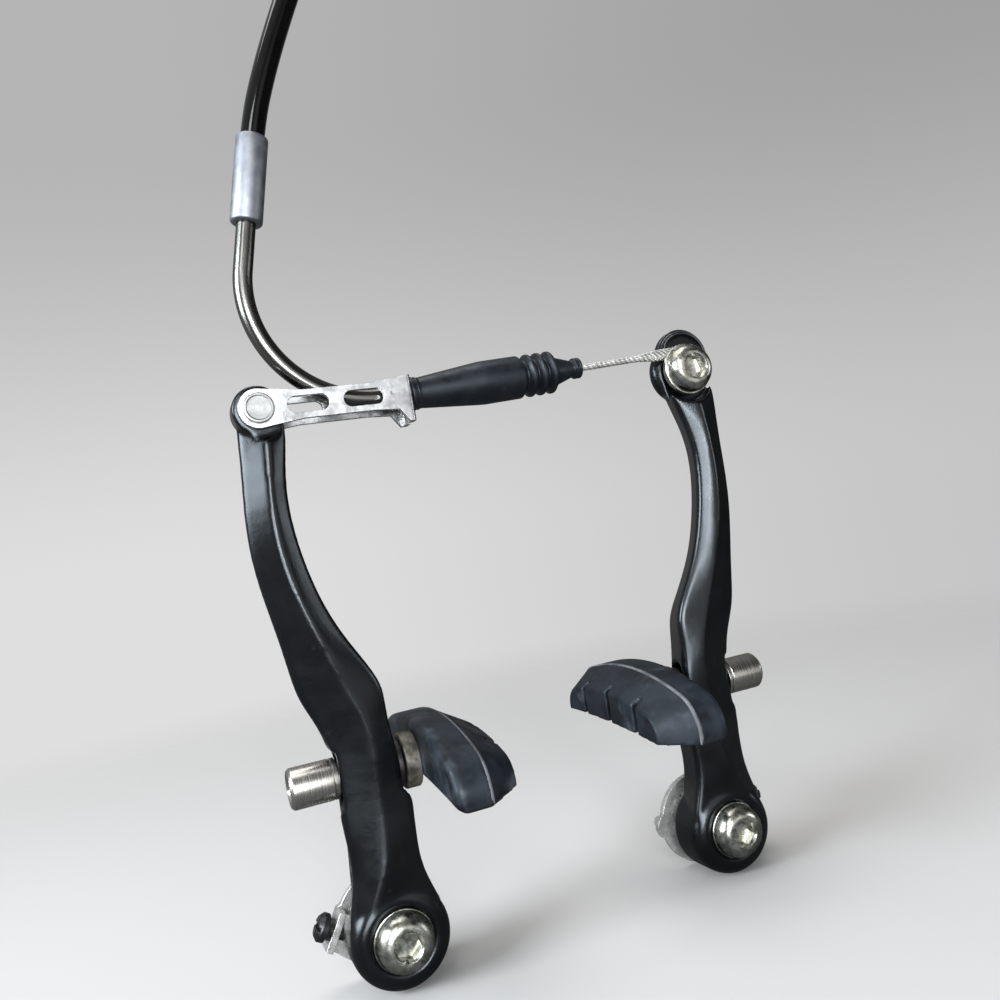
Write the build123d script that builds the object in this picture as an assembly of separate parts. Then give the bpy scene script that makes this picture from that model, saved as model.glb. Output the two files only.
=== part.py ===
from build123d import *
import os
from math import atan2, cos, degrees, hypot, radians, sin, sqrt

# Linear-pull bicycle brake: two cast arms on frame bosses, their pads, pivots and return springs,
# and across the top the link, the bent cable guide (noodle), the rubber boot and the inner wire.
# Frame: X across the wheel, Y along the boss axes with +Y towards the bicycle, Z up along the arms.
# Origin: midway between the boss axes, on the plane of the boss shoulders. Sizes in millimetres.
# Each side is drawn on the anchor side (+X), and the link side is its mirror image.

# Where the brake is held
boss_spacing = 80.0        # between the two boss axes
bolt_reach = 0.8           # how far the pivot bolts reach past the boss shoulder

# Gaps that several fits share
running_gap = 0.05         # radial, between parts that turn on each other
seat_gap = 0.05            # between curved faces that seat on each other
side_gap = 0.15            # beside parts that turn past each other
small_gap = 0.2            # between parts that stay clear of each other

# Pivot stack, from the boss shoulder outwards
plate_thickness = 1.5
post_bore = 4.2            # radius, slides over the 8 mm post of a boss
sleeve_radius = 5.6
ring_depth = 10.3          # of the arm round its sleeve
ring_radius = 10.4
ring_round = 3.0           # round front edge of the ring
counterbore_depth = 0.6    # seat of the bolt head in the ring
counterbore_gap = 0.4

# Return spring
spring_wire = 0.9          # radius
spring_turns = 1
spring_leg = 48.0          # height of the long leg, which bears on the arm
spring_foot = 8.0          # length of the short leg, which the adjuster pushes
spring_lean = 4.0          # degrees, long leg off the vertical, towards the wheel
spring_peg_radius = 1.8
spring_peg_height = 1.9    # past the spring wire's middle

# Spring plate and adjuster screw
plate_radius = 10.8
peg_radius = 1.25
peg_length = 4.0
peg_offset = 9.0           # peg axis from the boss axis, towards the wheel
peg_wall = 1.9
ear_angle = 31.0           # degrees, adjuster axis over the horizontal
ear_drop = 4.6             # how far the adjuster axis passes below the boss axis
ear_reach = 11.4           # outer face of the folded ear, along the adjuster axis
ear_width = 8.0
screw_depth = 3.4          # adjuster axis, from the boss shoulder
screw_radius = 1.5
screw_length = 4.0         # from the ear's outer face to the tip
screw_collar_radius = 2.2
screw_collar_height = 1.3
screw_head_radius = 2.9
screw_head_height = 2.0
screw_slot = 0.8

# Bolts with domed heads
bolt_radius = 3.0
bolt_head_radius = 6.25
bolt_flange = 1.1
bolt_head_height = 4.2
bolt_crown_radius = 3.6
bolt_dome_sag = 0.8        # bulge of the head's dome over its chord
bolt_socket = 5.0          # across flats
bolt_socket_depth = 2.6

# Arm: heights over the pivot axis, offsets outwards from it, depths from the boss shoulder
pad_height = 33.4
root_height = 6.2          # where the arm spreads out into its ring
root_outer = 9.5
root_inner = 9.0
foot_outer = 8.4           # edges of the arm where it leaves the ring
foot_inner = 7.6
waist_height = 20.0        # narrow place between the ring and the pad's stud
waist_outer = 7.8
waist_inner = 6.7
slot_outer = 8.25          # edges of the arm beside the pad's stud
slot_inner = 6.2
shoulder_rise = 16.5       # widest place of the arm, over the pad's stud
shoulder_outer = 12.25
shoulder_inner = 4.5
neck_drop = 23.5           # outermost place of the arm, under the link rivet
neck_outer = 17.45
neck_inner = 7.8
front_edge_depth = 15.2
lower_arm_depth = 9.4      # thickness of the arm's sides round the pad slot
upper_arm_depth = 5.8      # thickness of the arm's sides near its head
back_slant = 15.0          # height over which the arm's back steps from one to the other
edge_round = 1.1
side_draft = 1.6           # how much narrower the arm's back is than its front, on each side
outer_fall = 1.8           # how much deeper the front's outer edge lies than its inner edge
ridge_share = 0.58         # place of the front ridge, from the outer edge
waist_ridge = 0.5          # the same, where the ridge runs outwards down to the ring
foot_ridge = 0.31
root_ridge = 0.21
root_crest = 0.5           # height of the ridge over the front's inner edge, from the ring upwards
foot_crest = 0.9
neck_crest = 2.0
ridge_round = 1.0
bead = 0.06                # bulge of the front inside the ridge, as a share of the ridge's height
arm_swing = [(0.3, 0.42), (0.62, 0.8)]  # way up from shoulder to neck, and way outwards, as shares

# Heads of the arms
cable_height = 109.5       # link rivet
link_offset = 11.4
link_head_radius = 5.1
link_head_step = 1.1       # ring cut into the arm's front round the link's head
link_head_proud = 0.4      # front of the link's head, before the arm's front edge
anchor_height = 108.3
anchor_offset = 10.7
anchor_neck_radius = 6.4   # of the arm under the anchor head
anchor_swell = 0.9         # how far the arm's outer edge bulges between neck and anchor head
anchor_head_radius = 7.1
anchor_head_rise = 3.7     # centre of the anchor head's round top, over its bolt and outwards
anchor_head_shift = 2.1
anchor_head_depth = 3.5
anchor_boss_depth = 5.6    # of the head's middle, which the bolt screws into
anchor_recess = 8.0        # radius of the step in the arm's front round the bolt
anchor_rings = 3           # fine steps round the top of the anchor head
anchor_ring_width = 0.5
anchor_ring_depth = 0.4
anchor_bolt_grip = 7.0     # how far the anchor bolt reaches into its head
anchor_washer_radius = 5.9
anchor_washer_thickness = 1.0
anchor_wire_gap = 1.0      # between the bolt's shank and the wire

# Pad, its stud and the stud's washers and nut
stud_depth = 10.0          # stud axis, from the boss shoulder
stud_radius = 3.0
slot_length = 12.0
slot_gap = 0.3
seat_inset = 1.1           # depth of the washers' seats in the arm's sides
seat_margin = 0.4          # seat round a washer
washer_bore_gap = 0.4
dome_radius = 5.2
dome_edge = 0.9
dome_sphere = 9.0
cup_radius = 5.8
cup_thickness = 3.2
cup_gap = 0.5              # dark line between the two inner washers
nut_radius = 4.2
nut_length = 8.7
nut_thread = 4.2           # length of stud inside the nut
nut_socket = 5.0           # across flats
nut_socket_depth = 3.4
nut_washer_edge = 0.8
nut_washer_sphere = 7.0
pad_length = 53.6
pad_width = 11.5
pad_thickness = 14.3
pad_rise = 2.2             # middle of the pad over its stud
pad_tilt = 4.5             # degrees, near end down, to follow the rim
pad_curve = 311.0          # radius of the rim that the pad's lower edge follows
pad_top_curve = 72.0       # radius of the pad's upper edge
pad_end_round = 8.5        # upper corners of the pad, and of its rubbing face
pad_face_round = 5.0
pad_round = 1.8
pad_taper = 7.4            # depth over which the pad narrows to its rubbing face
pad_taper_length = 6.0     # how much shorter the rubbing face is at each end
pad_top_slope = 4.5        # and how much lower
pad_groove_width = 1.6
pad_groove_depth = 2.2
pad_groove_spacing = 12.0
stud_plate_length = 24.0   # steel plate that the rubber is moulded round
stud_plate_width = 5.6
stud_plate_thickness = 1.6
stud_plate_cover = 2.4     # rubber behind the plate

# Link, folded from sheet
sheet = 1.2
link_end_radius = 4.0
link_reach = 32.2          # rivet axis to the outer face of the end plate
link_waist_start = 9.0     # the plates are narrower between these distances from the rivet axis
link_waist_end = 23.5
link_waist_top = 2.9       # plate edges over and under the rivet axis, there and at the end plate
link_waist_bottom = 2.95
link_top = 3.95
link_bottom = 3.3
link_tab_drop = 6.0        # lower corners of the end plate, under the rivet axis
link_tab_length = 1.5
link_tab_flare = 1.9
link_fold = 1.0            # outer radius of the folds
link_slot_width = 3.4
link_slot_length = 8.6
link_slot_start = 5.7      # rivet axis to the first slot
link_slot_pitch = 11.6
rivet_radius = 2.4
rivet_head_radius = 3.1
rivet_head_height = 0.9

# Noodle, ferrule, housing and inner wire
cable_radius = 0.75
noodle_rise = 0.3          # noodle line over the rivet axis
noodle_radius = 2.0
noodle_bore = 1.45
noodle_bend = 24.0
noodle_bend_back = 6.8     # start of the bend, behind the end plate's outer face
noodle_lean = 12.6         # degrees, upper run off the vertical
noodle_run = 10.0          # straight run under the ferrule
nose_flange_radius = 3.2
nose_flange = 1.2
nose_neck_radius = 2.5
nose_tip_radius = 2.0
nose_cover = 0.5           # nose past the wire's end
ferrule_radius = 3.35
ferrule_length = 18.8
ferrule_grip = 6.0         # length of noodle inside the ferrule
ferrule_round = 0.5
housing_radius = 2.5
housing_socket = 4.5       # length of housing inside the ferrule
cap_radius = 3.1
cap_length = 11.0
cap_socket = 7.0           # length of housing inside its end cap
cable_drop = 0.45          # wire under the noodle's line at the end plate
cable_tail = 4.2           # wire past the anchor bolt's axis
wire_end_gap = 0.8         # between the two lengths of wire when the arms are closed
closing_angle = 3.5        # degrees that each arm swings in

# Rubber boot on the noodle's nose
boot_rim_radius = 3.75
boot_rim_length = 0.9
boot_neck_radius = 3.35
boot_radius = 4.85
boot_swell_length = 17.0   # end plate to the full radius
boot_tube_length = 27.4    # end plate to the first fold
boot_wall = 0.8
boot_folds = 3
boot_fold_pitch = 2.6
boot_fold_depth = 1.5
boot_fold_crest = 0.3       # flat top of a fold, as a share of its pitch
boot_cone_length = 4.8
boot_tip_radius = 2.4
boot_bead_length = 1.9
boot_wire_gap = 0.7

# Housing route from its seat in the ferrule, as offsets across and up, chosen by hand
housing_route = [(0.0, 0.0), (1.86, 8.3), (5.6, 18.7), (10.3, 29.7), (15.2, 40.1), (20.0, 50.0)]

# Places worked out from the sizes above; depths are negative Y
pivot_x = boss_spacing / 2
coil_pitch = 2 * spring_wire + side_gap
spring_space = spring_turns * coil_pitch + 2 * spring_wire + 2 * small_gap
ring_back = -plate_thickness - spring_space
ring_front = ring_back - ring_depth
bolt_seat = ring_front + counterbore_depth - side_gap
coil_radius = sleeve_radius + spring_wire + small_gap
coil_start = -plate_thickness - small_gap - spring_wire
leg_y = coil_start - spring_turns * coil_pitch
front_edge = -front_edge_depth
upper_back = front_edge + upper_arm_depth
lower_back = front_edge + lower_arm_depth
slant_start = pad_height + slot_length / 2 + edge_round
slant_end = slant_start + back_slant
stud_y = -stud_depth
inner_seat = pivot_x - slot_inner + seat_inset
outer_seat = pivot_x + slot_outer - seat_inset
head_front = front_edge - link_head_proud
link_front = head_front - side_gap - sheet
link_back = upper_back + side_gap + sheet
noodle_y = (link_front + link_back) / 2
noodle_z = cable_height + noodle_rise
rivet_x = -(pivot_x + link_offset)
end_plate_x = rivet_x + link_reach
anchor_x = pivot_x + anchor_offset
anchor_face = noodle_y + cable_radius + seat_gap
washer_back = noodle_y - cable_radius - seat_gap
washer_front = washer_back - anchor_washer_thickness
cable_z = anchor_height + bolt_radius + cable_radius + anchor_wire_gap
dome_height = dome_sphere - sqrt(dome_sphere ** 2 - dome_radius ** 2)
cup_start = dome_edge + cup_gap
pad_back_x = inner_seat - cup_start - cup_thickness
pad_face_x = pad_back_x - pad_thickness
pad_seam_x = pad_face_x + pad_taper
bend_x = end_plate_x - noodle_bend_back
closing_travel = 2 * cable_height * sin(radians(closing_angle))
wire_end_x = bend_x + closing_travel + wire_end_gap
nose_tip_x = wire_end_x + nose_cover


def disc(x, z, radius):
    """A circle in front view, at a place across and up."""
    return Pos(x, z) * Circle(radius)


def along_y(sketch, back, front):
    """A front-view sketch as a solid between two depths."""
    return extrude(Plane.XZ.offset(-back) * sketch, amount=back - front)


def along_x(sketch, start, end):
    """A side-view sketch (Y, Z) as a solid between two places across."""
    return extrude(Plane.YZ.offset(start) * sketch, amount=end - start)


def polygon(*points):
    """A flat face from its corners."""
    return make_face(Polyline(*points, close=True))


def turned(profile):
    """A half profile (radius, length) turned about its length, which becomes Z."""
    return revolve(Plane.XZ * profile, axis=Axis.Z)


def stood(shape, origin, direction, across=None):
    """A shape that was drawn along Z, stood at an origin along a direction."""
    return Plane(origin=origin, x_dir=across, z_dir=direction).location * shape


def facing_out(shape, x, y, z):
    """A shape that was drawn along Z, stood with its Z towards the front (-Y)."""
    return stood(shape, (x, y, z), (0, -1, 0), (1, 0, 0))


def hexagon(across_flats):
    """The section of a hexagon key."""
    return RegularPolygon(across_flats / 2, 6, major_radius=False)


def domed_bolt(length):
    """Bolt along Z with its seat at zero, shank below, and a domed head with a hexagon socket."""
    sides = Polyline((bolt_crown_radius, bolt_head_height), (0, bolt_head_height), (0, -length),
                     (bolt_radius, -length), (bolt_radius, 0), (bolt_head_radius, 0),
                     (bolt_head_radius, bolt_flange))
    dome = SagittaArc((bolt_head_radius, bolt_flange), (bolt_crown_radius, bolt_head_height), -bolt_dome_sag)
    socket = Pos(0, 0, bolt_head_height) * extrude(hexagon(bolt_socket), amount=-bolt_socket_depth)
    return turned(make_face(sides + dome)) - socket


def pivot_bolt():
    return facing_out(domed_bolt(bolt_reach - bolt_seat), pivot_x, bolt_seat, 0)


def pivot_sleeve():
    ring = disc(pivot_x, 0, sleeve_radius) - disc(pivot_x, 0, post_bore)
    return along_y(ring, -plate_thickness, bolt_seat)


def adjuster_point(distance):
    """A point on the adjuster axis, in front view, at a distance along it from the boss axis."""
    turn = radians(ear_angle)
    across = distance * cos(turn) + ear_drop * sin(turn)
    return (pivot_x + across, distance * sin(turn) - ear_drop * cos(turn))


def adjuster_strip(start, end):
    """A strip of the ear's width along the adjuster axis, in front view."""
    middle = adjuster_point((start + end) / 2)
    return Pos(*middle) * Rot(0, 0, ear_angle) * Rectangle(end - start, ear_width)


def ear_web():
    """The plate's front-view shape between its round part and the ear."""
    low, high = -ear_drop - ear_width / 2, -ear_drop + ear_width / 2
    web = polygon((0, -plate_radius), (ear_reach, low), (ear_reach, high), (0, plate_radius))
    return Pos(pivot_x, 0) * Rot(0, 0, ear_angle) * web


def adjuster_frame(shape):
    """A shape drawn along Z, stood on the ear's outer face along the adjuster axis."""
    x, z = adjuster_point(ear_reach)
    turn = radians(ear_angle)
    return stood(shape, (x, -screw_depth, z), (cos(turn), 0, sin(turn)), (0, 1, 0))


def spring_plate():
    """Plate on the boss shoulder, with a peg for the boss's spring hole and a folded ear."""
    flat = disc(pivot_x, 0, plate_radius) + disc(pivot_x - peg_offset, 0, peg_radius + peg_wall)
    flat += ear_web()
    plate = along_y(flat - disc(pivot_x, 0, post_bore), 0, -plate_thickness)
    plate += along_y(adjuster_strip(ear_reach - plate_thickness, ear_reach), 0, ring_back + side_gap)
    plate += along_y(disc(pivot_x - peg_offset, 0, peg_radius), peg_length, -plate_thickness / 2)
    return plate - adjuster_frame(Cylinder(screw_radius + seat_gap, 4 * plate_thickness))


def tension_screw():
    """Adjuster: its tip pushes the short leg of the spring, its head has a cross slot."""
    head_top = screw_collar_height + screw_head_height
    profile = polygon((0, -screw_length), (screw_radius, -screw_length), (screw_radius, 0),
                      (screw_collar_radius, 0), (screw_collar_radius, screw_collar_height),
                      (screw_head_radius, screw_collar_height), (screw_head_radius, head_top - screw_slot),
                      (screw_head_radius - screw_slot, head_top), (0, head_top))
    cross = Box(2 * screw_head_radius - screw_slot, screw_slot, screw_head_height)
    cross += Box(screw_slot, 2 * screw_head_radius - screw_slot, screw_head_height)
    return adjuster_frame(turned(profile) - Pos(0, 0, head_top) * cross)


def return_spring():
    """Short leg, coil round the sleeve and long leg behind the arm, of one wire."""
    height = spring_turns * coil_pitch
    foot = Line((coil_radius, -spring_foot, 0), (coil_radius, 0, 0))
    coil = Helix(coil_pitch, height, coil_radius)
    leg = Line((coil_radius, 0, height), (coil_radius, spring_leg, height))
    wire = Cylinder(spring_wire, spring_foot, align=(Align.CENTER, Align.CENTER, Align.MIN))
    spring = stood(wire, foot @ 0, (0, 1, 0))
    spring += sweep(Plane(origin=coil @ 0, z_dir=coil % 0) * Circle(spring_wire), path=coil, is_frenet=True)
    wire = Cylinder(spring_wire, spring_leg, align=(Align.CENTER, Align.CENTER, Align.MIN))
    spring += stood(wire, leg @ 0, (0, 1, 0))
    return facing_out(Rot(0, 0, spring_lean) * spring, pivot_x, coil_start, 0)


def spring_peg_place():
    """Front-view place of the arm's peg, outside the spring's long leg near its top."""
    out = coil_radius + spring_wire + spring_peg_radius + seat_gap
    up = spring_leg - 2 * spring_peg_radius
    lean = radians(spring_lean)
    return pivot_x + out * cos(lean) - up * sin(lean), out * sin(lean) + up * cos(lean)


def back_at(height):
    """Depth of the arm's back at a height: deep round the pad's slot, then a slant to the thin upper arm."""
    share = min(max((height - slant_start) / back_slant, 0), 1)
    return lower_back + share * (upper_back - lower_back)


def arm_section(height, outer, inner, crest, share):
    """One level of the arm: a flat and a bulging front facet that meet at the ridge, and three flat sides."""
    ridge = Vector(pivot_x + outer - share * (outer - inner), front_edge - crest)
    edge = Vector(pivot_x + inner, front_edge)
    along = edge - ridge
    bulge = (ridge + edge) / 2 + Vector(-along.Y, along.X) * (bead * crest / along.length)
    back = back_at(height)
    sides = Polyline(edge, (pivot_x + inner + side_draft, back), (pivot_x + outer - side_draft, back),
                     (pivot_x + outer, front_edge + outer_fall), ridge)
    face = make_face(sides + ThreePointArc(ridge, bulge, edge))
    corners = face.vertices().sort_by(Axis.Y)
    face = fillet(corners[0], ridge_round)
    corners = [corner for corner in face.vertices() if corner.Y > front_edge - seat_gap]
    return Plane.XY.offset(height) * fillet(corners, edge_round)


def behind_arm(top):
    """The space behind the arm's back, in side view, which the loft has to stay out of."""
    return polygon((lower_back, -ring_radius), (lower_back, slant_start), (upper_back, slant_end),
                   (upper_back, 2 * top), (front_edge_depth, 2 * top), (front_edge_depth, -ring_radius))


def arm_body(head_height, head_offset, head_radius, swell=0):
    """The arm between its ring and its head, lofted through its levels."""
    shoulder = pad_height + shoulder_rise
    neck = head_height - neck_drop
    top_outer = head_offset + head_radius - edge_round / 2
    top_inner = head_offset - head_radius + edge_round / 2
    levels = [
        (0.0, root_outer - edge_round, edge_round - root_inner, root_crest, root_ridge),
        (root_height, root_outer, -root_inner, root_crest, root_ridge),
        (ring_radius, foot_outer, -foot_inner, foot_crest, foot_ridge),
        (waist_height, waist_outer, -waist_inner, foot_crest, waist_ridge),
        (pad_height, slot_outer, -slot_inner, foot_crest, ridge_share),
        (shoulder, shoulder_outer, -shoulder_inner, (foot_crest + neck_crest) / 2, ridge_share),
    ]
    for share, swing in arm_swing:
        height = shoulder + share * (neck - shoulder)
        outer = shoulder_outer + swing * (neck_outer - shoulder_outer)
        inner = -shoulder_inner + swing * (neck_inner + shoulder_inner)
        levels.append((height, outer, inner, neck_crest, ridge_share))
    levels.append((neck, neck_outer, neck_inner, neck_crest, ridge_share))
    between = [(low + high) / 2 for low, high in
               ((neck, head_height), (neck_outer, top_outer), (neck_inner, top_inner))]
    levels.append((between[0], between[1] + swell, between[2], neck_crest, ridge_share))
    levels.append((head_height, top_outer, top_inner, neck_crest, ridge_share))
    arm = loft([arm_section(*level) for level in levels])
    return arm - along_x(behind_arm(head_height), 0, 2 * pivot_x)


def stud_slot(radius):
    """A round-ended upright slot in side view, for something of a radius that slides along the pad's slot."""
    travel = slot_length - 2 * (stud_radius + slot_gap)
    return Pos(stud_y, pad_height) * SlotOverall(travel + 2 * radius, 2 * radius, rotation=90)


def arm_lower_end(arm):
    """Add the pivot ring and the spring's peg, and cut the bore, the bolt's seat and the pad's slot."""
    ring = along_y(disc(pivot_x, 0, ring_radius), ring_back, ring_front)
    arm += fillet(ring.edges().group_by(Axis.Y)[0], ring_round)
    peg = disc(*spring_peg_place(), spring_peg_radius)
    arm += along_y(peg, leg_y + spring_peg_height, front_edge + edge_round)
    arm -= along_y(disc(pivot_x, 0, sleeve_radius + running_gap), 0, 2 * ring_front)
    seat = disc(pivot_x, 0, bolt_head_radius + counterbore_gap)
    arm -= along_y(seat, ring_front + counterbore_depth, 2 * ring_front)
    arm -= along_x(stud_slot(stud_radius + slot_gap), 0, 2 * pivot_x)
    arm -= along_x(stud_slot(dome_radius + seat_margin), inner_seat - pad_thickness, inner_seat)
    return arm - along_x(stud_slot(nut_radius + seat_margin), outer_seat, outer_seat + pad_thickness)


def link_arm():
    """The arm whose head carries the link: drawn on the anchor side, then mirrored."""
    head_x = pivot_x + link_offset
    arm = arm_body(cable_height, link_offset, link_head_radius)
    arm -= along_y(disc(head_x, cable_height, link_head_radius + link_head_step), head_front, 2 * front_edge)
    arm += along_y(disc(head_x, cable_height, link_head_radius), upper_back, head_front)
    arm = arm_lower_end(arm)
    return other_side(arm - along_y(disc(head_x, cable_height, rivet_radius + seat_gap), 0, 2 * front_edge))


def upright_slot(x, z, rise, radius):
    """A round-ended upright shape from a centre to a second centre over it, in front view."""
    return disc(x, z, radius) + disc(x, z + rise, radius) + Pos(x, z + rise / 2) * Rectangle(2 * radius, rise)


def anchor_head(radius):
    """Front view of the anchor head: round about its bolt and about a place over it."""
    sides = SlotCenterToCenter(hypot(anchor_head_shift, anchor_head_rise), 2 * radius)
    lean = degrees(atan2(anchor_head_rise, anchor_head_shift))
    middle = Pos(anchor_x + anchor_head_shift / 2, anchor_height + anchor_head_rise / 2)
    return middle * Rot(0, 0, lean) * sides


def anchor_arm():
    """The arm whose head clamps the wire, with fine steps round the head's top."""
    arm = arm_body(anchor_height, anchor_offset, anchor_neck_radius, anchor_swell)
    recess = upright_slot(anchor_x, anchor_height, 2 * anchor_recess, anchor_recess)
    arm -= along_y(recess, anchor_face, 2 * front_edge)
    for step in range(anchor_rings + 1):
        radius = anchor_head_radius - (anchor_rings - step) * anchor_ring_width
        front = anchor_face + step * anchor_ring_depth
        arm += along_y(anchor_head(radius), anchor_face + anchor_head_depth, front)
    boss = disc(anchor_x, anchor_height, anchor_neck_radius - edge_round)
    arm += along_y(boss, anchor_face + anchor_boss_depth, anchor_face)
    arm = arm_lower_end(arm)
    return arm - along_y(disc(anchor_x, anchor_height, bolt_radius + seat_gap), 0, 2 * front_edge)


def other_side(shape):
    """The mirror image on the link side."""
    return mirror(shape, about=Plane.YZ)


def stud_frame(shape, x, outwards):
    """A shape drawn along Z, stood on the stud's axis, facing away from the wheel or towards it."""
    return stood(shape, (x, stud_y, pad_height), (1 if outwards else -1, 0, 0), (0, 1, 0))


def spherical_cap(edge, radius, sphere):
    """A washer along Z, flat at zero, with a straight edge and a spherical top."""
    low = sqrt(sphere ** 2 - radius ** 2)
    body = Cylinder(radius, edge + sphere - low, align=(Align.CENTER, Align.CENTER, Align.MIN))
    return body & (Pos(0, 0, edge - low) * Sphere(sphere))


def stud_hole(length):
    """The clear hole round the stud, through a washer of a length."""
    return Cylinder(stud_radius + washer_bore_gap, 4 * length)


def inner_dome_washer():
    washer = spherical_cap(dome_edge, dome_radius, dome_sphere) - stud_hole(dome_edge + dome_height)
    return stud_frame(washer, inner_seat, False)


def inner_cup_washer():
    """Cup that the inner dome washer tilts in; the pad's back lies on its flat side."""
    low = sqrt(dome_sphere ** 2 - dome_radius ** 2)
    body = Cylinder(cup_radius, cup_thickness, align=(Align.CENTER, Align.CENTER, Align.MIN))
    hollow = Pos(0, 0, dome_edge - low) * Sphere(dome_sphere + seat_gap)
    cup = Pos(0, 0, cup_start) * body - hollow - stud_hole(cup_start + cup_thickness)
    return stud_frame(cup, inner_seat, False)


def nut_washer():
    washer = spherical_cap(nut_washer_edge, nut_radius, nut_washer_sphere)
    return stud_frame(washer - stud_hole(nut_washer_sphere), outer_seat, True)


def pad_nut():
    """Barrel nut: cupped over its domed washer, with a hexagon socket in its outer end."""
    low = sqrt(nut_washer_sphere ** 2 - nut_radius ** 2)
    start = nut_washer_edge + small_gap
    barrel = turned(polygon((0, start), (nut_radius, start), (nut_radius, start + nut_length - ferrule_round),
                            (nut_radius - ferrule_round, start + nut_length), (0, start + nut_length)))
    barrel -= Pos(0, 0, nut_washer_edge - low) * Sphere(nut_washer_sphere + seat_gap)
    thread = Cylinder(stud_radius + seat_gap, nut_thread + 2 * small_gap)
    barrel -= Pos(0, 0, start + nut_thread / 2) * thread
    socket = Pos(0, 0, start + nut_length) * extrude(hexagon(nut_socket), amount=-nut_socket_depth)
    return stud_frame(barrel - socket, outer_seat, True)


def pad_frame(shape):
    """A shape drawn round the stud at the origin, tilted to the rim and moved to the pad's place."""
    return Pos(0, stud_y, pad_height) * Rot(pad_tilt, 0, 0) * shape


def stud_shape(gap):
    """Stud and moulded-in plate round the X axis, grown by a gap."""
    plate_x = pad_back_x - stud_plate_cover - stud_plate_thickness
    plate = Box(stud_plate_thickness + 2 * gap, stud_plate_length + 2 * gap, stud_plate_width + 2 * gap)
    end = outer_seat + nut_washer_edge + nut_thread
    rod = along_x(Circle(stud_radius + gap), plate_x, end)
    return rod + Pos(plate_x + stud_plate_thickness / 2, 0, 0) * plate


def pad_stud():
    return pad_frame(stud_shape(0))


def pad_outline(half, top, low, corner):
    """Side view of the pad: curved edges over and under it, straight ends and round upper corners."""
    top_end = top - pad_top_curve + sqrt(pad_top_curve ** 2 - half ** 2)
    low_end = low - pad_curve + sqrt(pad_curve ** 2 - half ** 2)
    outline = make_face([
        ThreePointArc((-half, top_end), (0, top), (half, top_end)), Line((half, top_end), (half, low_end)),
        ThreePointArc((half, low_end), (0, low), (-half, low_end)), Line((-half, low_end), (-half, top_end))])
    return fillet(outline.vertices().group_by(Axis.Y)[-1], corner)


def pad():
    """Rubber block along the rim, which narrows from a seam to its grooved rubbing face."""
    half = pad_length / 2
    top, low = pad_rise + pad_width / 2, pad_rise - pad_width / 2
    seam = pad_outline(half, top, low, pad_end_round)
    face = pad_outline(half - pad_taper_length, top - pad_top_slope, low, pad_face_round)
    block = along_x(seam, pad_seam_x, pad_back_x)
    block = fillet(block.edges().group_by(Axis.X)[-1], pad_round)
    block += loft([Plane.YZ.offset(pad_face_x) * face, Plane.YZ.offset(pad_seam_x) * seam], ruled=True)
    for place in (-1, 0, 1):
        groove = Box(2 * pad_groove_depth, pad_groove_width, 2 * pad_width)
        block -= Pos(pad_face_x, place * pad_groove_spacing, 0) * groove
    return pad_frame(block - stud_shape(seat_gap))


def anchor_bolt():
    reach = anchor_face - washer_front + anchor_bolt_grip
    return facing_out(domed_bolt(reach), anchor_x, washer_front, anchor_height)


def anchor_washer():
    ring = disc(anchor_x, anchor_height, anchor_washer_radius)
    return along_y(ring - disc(anchor_x, anchor_height, bolt_radius + seat_gap), washer_back, washer_front)


def link():
    """Folded sheet: two slotted side plates on the arm's head and an end plate for the noodle's nose."""
    foot = link_reach - link_tab_length
    side = disc(0, 0, link_end_radius) + polygon(
        (0, -link_end_radius), (link_waist_start, -link_waist_bottom), (link_waist_end, -link_waist_bottom),
        (foot - link_tab_flare, -link_bottom), (foot, -link_tab_drop), (link_reach, -link_tab_drop),
        (link_reach, link_top), (link_waist_end, link_waist_top), (link_waist_start, link_waist_top),
        (0, link_end_radius))
    for place in range(2):
        middle = link_slot_start + link_slot_length / 2 + place * link_slot_pitch
        side -= Pos(middle, 0) * SlotOverall(link_slot_length, link_slot_width)
    side -= Circle(rivet_radius + running_gap)
    folded = along_y(Pos(rivet_x, cable_height) * side, link_back, link_front)
    corners = folded.edges().filter_by(Axis.Z).group_by(Axis.X)[-1]
    folded = fillet(corners, link_fold)
    inside = Rectangle(2 * link_reach, 4 * link_tab_drop)
    inside = Pos(end_plate_x - sheet - link_reach, cable_height) * inside
    folded -= along_y(inside, link_back - sheet, link_front + sheet)
    mouth = Pos(noodle_y, noodle_z) * Circle(nose_neck_radius + side_gap)
    gate = Rectangle(2 * cable_radius + 4 * small_gap, link_tab_drop + noodle_rise + sheet,
                     align=(Align.CENTER, Align.MAX))
    opening = mouth + Pos(noodle_y, noodle_z) * gate
    return folded - along_x(opening, end_plate_x - 2 * sheet, end_plate_x + sheet)


def link_rivet():
    """Rivet through the link's plates and the arm's head, with a flat head on each side."""
    front, back = link_front - seat_gap, link_back + seat_gap
    rivet = along_y(disc(rivet_x, cable_height, rivet_radius), back, front)
    rivet += along_y(disc(rivet_x, cable_height, rivet_head_radius), front, front - rivet_head_height)
    return rivet + along_y(disc(rivet_x, cable_height, rivet_head_radius), back + rivet_head_height, back)


def noodle_line(upper_run):
    """The noodle's middle line from its bend upwards: an arc and a straight run of a length."""
    centre = (bend_x, noodle_z + noodle_bend)
    turn = 90 + noodle_lean
    arc = Plane.XZ.offset(-noodle_y) * CenterArc(centre, noodle_bend, -90, -turn)
    return arc + Line(arc @ 1, (arc @ 1) + (arc % 1) * upper_run)


def tube_along(line, radius, bore=0):
    """A round tube or rod along a line of edges."""
    section = Circle(radius) - Circle(bore) if bore else Circle(radius)
    return sweep(Plane(origin=line @ 0, z_dir=line % 0) * section, path=line)


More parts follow.
